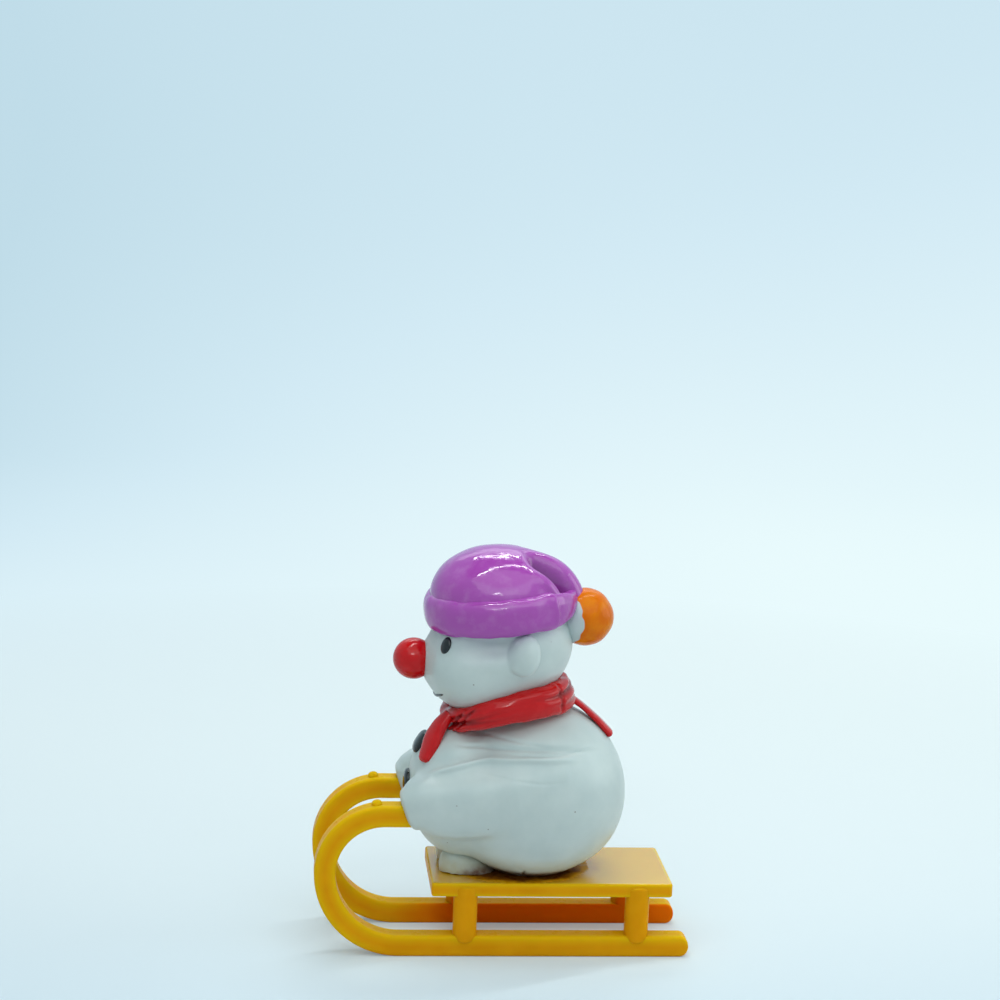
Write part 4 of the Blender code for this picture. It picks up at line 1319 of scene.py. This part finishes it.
# %% Scarf band
SCARF_MIDDLE = CRANIUM + (1.2, 0, -9.8)
SCARF_LENGTH = 20.8
SCARF_WIDTH = 19.8
SCARF_THICK = 4.2
SCARF_TILT = math.radians(14.0)
SCARF_SIDE_RISE = 1.4
SCARF_TALL_FRONT = 3.6
SCARF_TALL_BACK = 5.2
# turn round the section, drift, waves round the neck, depth
SCARF_CREASES = ((26.0, 12.0, 3, 0.62), (-18.0, 10.0, 2, 0.55), (2.0, 14.0, 1, 0.4))
SCARF_CREASE_WIDTH = 9.0
# place round the neck, lean, depth
SCARF_CROSS_FOLDS = (
    (214, 0.25, 0.45),
    (224, 0.32, 0.35),
    (136, -0.25, 0.45),
    (321, 0.03, 0.35),
    (39, -0.03, 0.35),
)
SCARF_CROSS_WIDTH = 2.2
SCARF_CROSS_REACH = 60.0


def scarf_grid(count=420, around=64):
    """The band's ring and the painted shade in its folds: a squared oval section, less the depth of its
    folds.
    """
    length, width = SCARF_LENGTH - SCARF_THICK, SCARF_WIDTH - SCARF_THICK
    path, out, up, angle = ring_frame(SCARF_MIDDLE, length, width, SCARF_TILT, count, SCARF_SIDE_RISE)
    radian = np.radians(angle)
    back = (1 + np.cos(radian)) / 2
    tall = SCARF_TALL_FRONT + (SCARF_TALL_BACK - SCARF_TALL_FRONT) * back
    tall = tall + 0.12 * np.sin(9 * radian + 0.5) + 0.08 * np.sin(17 * radian)
    size = np.stack([np.full(count, SCARF_THICK / 2), tall / 2], axis=-1)
    sections = oval(around, 2.6)[None] * size[:, None]
    turn = np.degrees(np.linspace(0, 2 * np.pi, around, endpoint=False))
    turn = (turn + 180) % 360 - 180
    depth = np.zeros(sections.shape[:2])
    for centre, drift, pace, deep in SCARF_CREASES:
        crease = centre + drift * np.sin(pace * radian + centre)
        strength = deep * (0.55 + 0.45 * np.sin(2 * radian + 0.3 * centre))
        depth += strength[:, None] * line_on(turn[None], crease[:, None], SCARF_CREASE_WIDTH)
    for place, lean, deep in SCARF_CROSS_FOLDS:
        across = angle[:, None] - place - lean * turn[None]
        reach = line_on(turn[None], 0.0, SCARF_CROSS_REACH)
        depth += deep * line_on(across, 0.0, SCARF_CROSS_WIDTH) * reach
    sections[..., 0] -= depth
    return sweep(path, out, up, sections), ease(depth, 0.08, 0.5)


band, crease_shade = scarf_grid()
band_nodes = ["scarf_band"]
surface(
    "scarf_loop", band, RED, FIGURE_BODY, band_nodes, ring=True, sharp=60.0, painted_light_share=crease_shade
)

# %% [markdown]
# ## The scarf's ends
#
# Two ends hang down: a leaf-shaped one on the left of the chest and a narrow one on the back. A flat
# strap would cut through the round body, so each station is turned to the body's skin: its across
# direction is the product of the skin's normal and the strap's own direction.

# %% Scarf ends
LEAF_POINTS = (
    (-8.6, -3.6, 36.2),
    (-9.9, -3.7, 34.7),
    (-10.95, -3.9, 32.8),
    (-11.6, -4.4, 31.0),
    (-12.5, -5.0, 29.1),
)
LEAF_WIDTHS = (1.9, 2.6, 3.2, 3.6, 3.5, 3.0, 2.0)
LEAF_THICKNESSES = (1.6, 1.8, 1.9, 1.8, 1.4)
BACK_POINTS = ((9.7, 0, 38.1), (11.8, 0, 36.6), (14.3, 0, 34.3), (16.2, 0, 32.2))
BACK_WIDTHS = (2.6, 3.0, 3.4, 3.4)
BACK_THICKNESSES = (1.0, 0.9, 1.1, 1.3)
STRAP_END = 0.93
STRAP_ROUND = 0.07
SMOOTH_REACH = 8


def spread(values, share):
    """Values set out evenly from 0 to 1, read at some shares with straight lines between them."""
    return np.interp(share, np.linspace(0, 1, len(values)), values)


def smoothed(path):
    """A path whose points are each the mean of their neighbours. Turning both ends over keeps them."""
    width = 2 * SMOOTH_REACH + 1
    reach = ((SMOOTH_REACH, SMOOTH_REACH), (0, 0))
    padded = np.pad(path, reach, mode="reflect", reflect_type="odd")
    columns = [np.convolve(column, np.ones(width) / width, mode="valid") for column in padded.T]
    return np.stack(columns, axis=-1)


def strap_grid(points, widths, thicknesses, count=90, around=40):
    """A strap along a smoothed line of points, turned to the body's skin, with a round end."""
    share = np.linspace(0, 1, count)
    path = smoothed(np.stack([spread(column, share) for column in np.array(points).T], axis=-1))
    tangent, _ = along(path)
    across = np.cross(slope_of(body_field, path), tangent)
    across /= np.linalg.norm(across, axis=1, keepdims=True)
    past = np.clip(share - STRAP_END, 0, 1) / STRAP_ROUND
    end = np.sqrt(np.clip(1 - past**2, 0.001, 1))
    size = [spread(widths, share) / 2 * end, spread(thicknesses, share) / 2 * end]
    sections = oval(around, 2.3)[None] * np.stack(size, axis=-1)[:, None]
    return sweep(path, across, np.cross(tangent, across), sections)


leaf = strap_grid(LEAF_POINTS, LEAF_WIDTHS, LEAF_THICKNESSES)
surface("scarf_leaf", leaf, RED, FIGURE_BODY, ["scarf_front_end"], sharp=60.0)
tail = strap_grid(BACK_POINTS, BACK_WIDTHS, BACK_THICKNESSES)
surface("scarf_tail", tail, RED, FIGURE_BODY, ["scarf_back_end"], sharp=60.0)

# %% [markdown]
# ## Buttons
#
# Two coal buttons sit on the middle of the chest: low domes with a painted edge. Cylinders would stand
# up like bolts, so they are flat squared eggs, half sunk in the skin and set square to it.

# %% Buttons
BUTTON_HALF = (2.0, 1.85, 0.75)
BUTTON_CLIMBS = (31.0, 3.5)
TRUNK_MIDDLE = (BELLY + CHEST) / 2
for number, climb in enumerate(BUTTON_CLIMBS, 1):
    points, normals = skin_points(body_field, TRUNK_MIDDLE, [0.0], [climb])
    grid = lump(points[0], frame_on(normals[0], (0, 1, 0)), BUTTON_HALF, 36, 60, 2.4)
    surface(f"coal_button_{number}", grid, BLACK, FIGURE_BODY, [f"button_{number}"])

# %% [markdown]
# ## Floor and backdrop
#
# The toy stands in a light tent: one pale blue sheet that runs from the floor up into the wall. The
# tent's light is painted onto it as a tone: darker to the upper left and almost white at the right. A
# plain curved sheet would end somewhere, so a round bowl does the same from every side, and its tone is
# worked out on its unrolled surface and kept on its points.

# %% Backdrop bowl
BOWL_FLOOR = 0.42
BOWL_BEND = 0.18
BOWL_HEIGHT = 0.75
BOWL_AROUND = 128
# The tone is painted light: highest a little behind the toy, lower in front of it and up the wall.
TONE_RUN = (-0.12, -0.03, -0.01, 0.02, 0.06, 0.13, 0.23, 0.31, 0.38, 0.44, 0.50, 0.55, 0.60, 0.68)
TONE_LEVEL = (0.62, 0.65, 0.71, 0.75, 0.77, 0.80, 0.82, 0.81, 0.78, 0.76, 0.71, 0.66, 0.62, 0.60)
DIM_RUN = (0.0, 0.10, 0.30, 0.44, 0.54, 0.66)
DIM_SHARE = (0.10, 0.08, 0.24, 0.27, 0.20, 0.10)
TONE_BLUR = np.linspace(-0.03, 0.03, 9)


def sheet_tone(across, away):
    """The sheet's tone, a painted falloff of the tent's light towards the wall's top, the front and the
    left.
    """
    level = np.mean([np.interp(away + shift, TONE_RUN, TONE_LEVEL) for shift in TONE_BLUR], axis=0)
    dim = np.mean([np.interp(away + shift, DIM_RUN, DIM_SHARE) for shift in TONE_BLUR], axis=0)
    left = np.clip((0.12 - across) / 0.25, 0, 1.2) ** 1.6
    return level * (1 - dim * left)


def bowl_profile():
    """Radius, height and unrolled length of a flat floor, a quarter round bend and an upright wall."""
    flat = np.linspace(0, BOWL_FLOOR, 43)[1:]
    angle = np.linspace(0, np.pi / 2, 25)[1:]
    wall = np.linspace(0, BOWL_HEIGHT, 12)[1:]
    edge = BOWL_FLOOR + BOWL_BEND
    radius = np.concatenate([flat, BOWL_FLOOR + BOWL_BEND * np.sin(angle), np.full(len(wall), edge)])
    height = np.concatenate([0 * flat, BOWL_BEND * (1 - np.cos(angle)), BOWL_BEND + wall])
    bend = BOWL_FLOOR + BOWL_BEND * angle
    return radius[:, None], height[:, None], np.concatenate([flat, bend, bend[-1] + wall])[:, None]


def bowl():
    """The profile turned about Z, with its tone on each point."""
    radius, height, run = bowl_profile()
    turn = np.linspace(0, 2 * np.pi, BOWL_AROUND, endpoint=False)
    x, y = np.cos(turn)[None], np.sin(turn)[None]
    grid = np.stack([radius * x, radius * y, height + 0 * x], axis=-1)
    tone = sheet_tone(run * x, run * y)
    rows, columns = grid.shape[:2]
    index = np.arange(rows * columns).reshape(rows, columns)
    beside = np.roll(index, -1, axis=1)
    quads = np.stack([index[:-1], beside[:-1], beside[1:], index[1:]], axis=-1).reshape(-1, 4)
    fan = np.stack([beside[0], index[0], np.full(columns, rows * columns)], axis=-1)
    points = np.vstack([grid.reshape(-1, 3), [0, 0, 0]])
    mesh = bpy.data.meshes.new("backdrop")
    mesh.from_pydata(points.tolist(), [], quads[:, ::-1].tolist() + fan[:, ::-1].tolist())
    values = mesh.attributes.new("tone", "FLOAT", "POINT")
    levels = np.append(tone.ravel(), sheet_tone(0.0, 0.0))
    values.data.foreach_set("value", levels.astype(np.float32))
    mesh.shade_smooth()
    made = bpy.data.objects.new("backdrop", mesh)
    bpy.context.scene.collection.objects.link(made)
    return made


backdrop = bowl()
print("backdrop", len(backdrop.data.polygons), "faces")

# %% [markdown]
# ## The sheet's material
#
# A white sheet lit until it looks white would flood the toy with light. So the camera, and rays that
# come from a gloss or through a clear piece, see the sheet glow in its own tone. Close to the toy three
# quarters of that is real shading, so that the shadow falls on the floor. All other light meets a plain
# pale matt sheet, which sends a soft light back up to the toy as a tent does.

# %% Sheet
TONE_START = 0.53
TONE_END = 0.82
TONES = (
    (0.00, (0.53, 0.72, 0.815)),
    (0.41, (0.65, 0.825, 0.91)),
    (0.76, (0.75, 0.905, 0.955)),
    (1.00, (0.82, 0.965, 0.985)),
)
SHADOW_SHARE = 0.75
SHADOW_REACH = (0.06, 0.24)
FLOOR_LIGHT = (1.11, 1.02, 1.01)
PLAIN_SHEET = (0.70, 0.72, 0.73, 1.0)


def tone_ramp(made):
    """The sheet's colour for its tone, from the dark blue corner to the pale right."""
    tone = add_node(made, "ShaderNodeAttribute", attribute_name="tone").outputs["Fac"]
    ramp = add_node(made, "ShaderNodeValToRGB")
    while len(ramp.color_ramp.elements) < len(TONES):
        ramp.color_ramp.elements.new(0.5)
    for element, (place, colour) in zip(ramp.color_ramp.elements, TONES):
        element.position = place
        element.color = (*colour, 1.0)
    link(made, ranged(made, tone, TONE_START, TONE_END), ramp.inputs["Fac"])
    return ramp.outputs["Color"]


def shaders_mixed(made, share, first, second):
    """A shader between two shaders: the second takes the share."""
    node = add_node(made, "ShaderNodeMixShader")
    for source, target in zip((share, first, second), node.inputs):
        link(made, source, target)
    return node.outputs[0]


def sheet_material():
    """Camera, glossy and transmission rays see the tone. Other rays see a pale matt sheet."""
    made = bpy.data.materials.new("pale_sheet")
    made.use_nodes = True
    made.node_tree.nodes.clear()
    colour = tone_ramp(made)
    glow = add_node(made, "ShaderNodeEmission")
    link(made, colour, glow.inputs["Color"])
    evened = add_node(made, "ShaderNodeVectorMath", operation="MULTIPLY")
    link(made, colour, evened.inputs[0])
    evened.inputs[1].default_value = FLOOR_LIGHT
    matt = add_node(made, "ShaderNodeBsdfDiffuse")
    link(made, evened.outputs["Vector"], matt.inputs["Color"])
    length = add_node(made, "ShaderNodeVectorMath", operation="LENGTH")
    link(made, object_place(made), length.inputs[0])
    shaded = ranged(made, length.outputs["Value"], *SHADOW_REACH, SHADOW_SHARE, 0.0)
    seen = shaders_mixed(made, shaded, glow.outputs[0], matt.outputs[0])
    rays = add_node(made, "ShaderNodeLightPath").outputs
    sees = reckon(made, "MAXIMUM", rays["Is Camera Ray"], rays["Is Glossy Ray"])
    sees = reckon(made, "MAXIMUM", sees, rays["Is Transmission Ray"])
    plain = add_node(made, "ShaderNodeBsdfDiffuse", Color=PLAIN_SHEET)
    output = add_node(made, "ShaderNodeOutputMaterial")
    link(made, shaders_mixed(made, sees, plain.outputs[0], seen), output.inputs["Surface"])
    return made


backdrop.data.materials.append(sheet_material())
backdrop.visible_shadow = False
print("sheet", backdrop.data.materials[0].name)

# %% [markdown]
# ## Light
#
# The tent is bright from above and behind, and dimmer on the camera's side, so the toy's top is pale
# and its near side a step darker. A sun would give hard shadows, so the light comes from wide dim
# panels behind, at the right, in front and overhead. A small bright window above the camera gives nose
# and eyes a soft glint, two long narrow lamps across the roof draw the double glints on the hat, and a
# faint world fills the deepest shadows.

# %% Lights
TOY = (0.0, 0.0, 0.025)
COOL = (0.93, 0.99, 0.98)
WORLD_COLOUR = (0.88, 0.95, 0.96, 1.0)
WORLD_LEVEL = 0.05


def panel(name, place, width, depth, radiance):
    """An area lamp that faces the toy: its power is radiance times area times pi."""
    lamp = bpy.data.lights.new(name, "AREA")
    lamp.shape = "RECTANGLE"
    lamp.size = width
    lamp.size_y = depth
    lamp.energy = radiance * width * depth * math.pi
    lamp.color = COOL
    made = bpy.data.objects.new(name, lamp)
    bpy.context.scene.collection.objects.link(made)
    made.location = place
    made.rotation_mode = "QUATERNION"
    made.rotation_quaternion = (Vector(TOY) - Vector(place)).to_track_quat("-Z", "Y")
    made.visible_camera = False
    return made


def strip(name, start, end, width, radiance):
    """A long narrow lamp between two places, turned to face the toy."""
    start, end = Vector(start), Vector(end)
    made = panel(name, (start + end) / 2, (end - start).length, width, radiance)
    back = (made.location - Vector(TOY)).normalized()
    run = end - start
    run = (run - back * run.dot(back)).normalized()
    made.rotation_quaternion = Matrix((run, back.cross(run), back)).transposed().to_quaternion()
    return made


world = bpy.data.worlds.new("tent")
world.use_nodes = True
world_light = world.node_tree.nodes["Background"]
world_light.inputs["Color"].default_value = WORLD_COLOUR
world_light.inputs["Strength"].default_value = WORLD_LEVEL
bpy.context.scene.world = world
panel("back_top", (0.02, 0.27, 0.26), 0.35, 0.10, 1.2)
panel("right_wall", (0.42, -0.02, 0.16), 0.3, 0.25, 1.7)
panel("front_top", (0.0, -0.33, 0.28), 0.40, 0.20, 0.2)
panel("ceiling", (0.02, -0.20, 0.40), 0.60, 0.40, 1.25)
panel("window", (-0.064, -0.292, 0.255), 0.07, 0.03, 12.0)
strip("lamp_top", (-0.15, -0.03, 0.39), (0.16, 0.12, 0.36), 0.010, 42.0)
strip("lamp_back", (-0.10, 0.20, 0.34), (0.09, 0.23, 0.32), 0.009, 34.0)
print("lamps", [lamp.name for lamp in bpy.data.lights])

# %% [markdown]
# ## Camera
#
# The lens and place were worked out from the sled's straight edges in the photograph: a long lens, a
# little above the toy and turned slightly to its front. Aiming an empty would hide the roll, so the
# matrix is built from three turns, each of which can be read.

# %% Camera
CAMERA_PLACE_MM = (-36.54, -340.41, 132.60)
LENS = 84.888
SENSOR = 36.0
PITCH_DOWN = 0.186731
YAW_RIGHT = 0.100925
ROLL = 0.040095
lens = bpy.data.cameras.new("camera")
lens.lens = LENS
lens.sensor_width = SENSOR
lens.clip_start = 0.01
lens.clip_end = 10.0
camera = bpy.data.objects.new("camera", lens)
bpy.context.scene.collection.objects.link(camera)
place = Matrix.Translation([value * MM for value in CAMERA_PLACE_MM])
turned = Matrix.Rotation(-YAW_RIGHT, 4, "Z") @ Matrix.Rotation(math.pi / 2 - PITCH_DOWN, 4, "X")
camera.matrix_world = place @ turned @ Matrix.Rotation(ROLL, 4, "Z")
bpy.context.scene.camera = camera
bpy.context.scene.view_settings.view_transform = "Standard"
print("lens", LENS, "mm at", CAMERA_PLACE_MM, "mm")

# %% The end
bpy.context.view_layer.update()
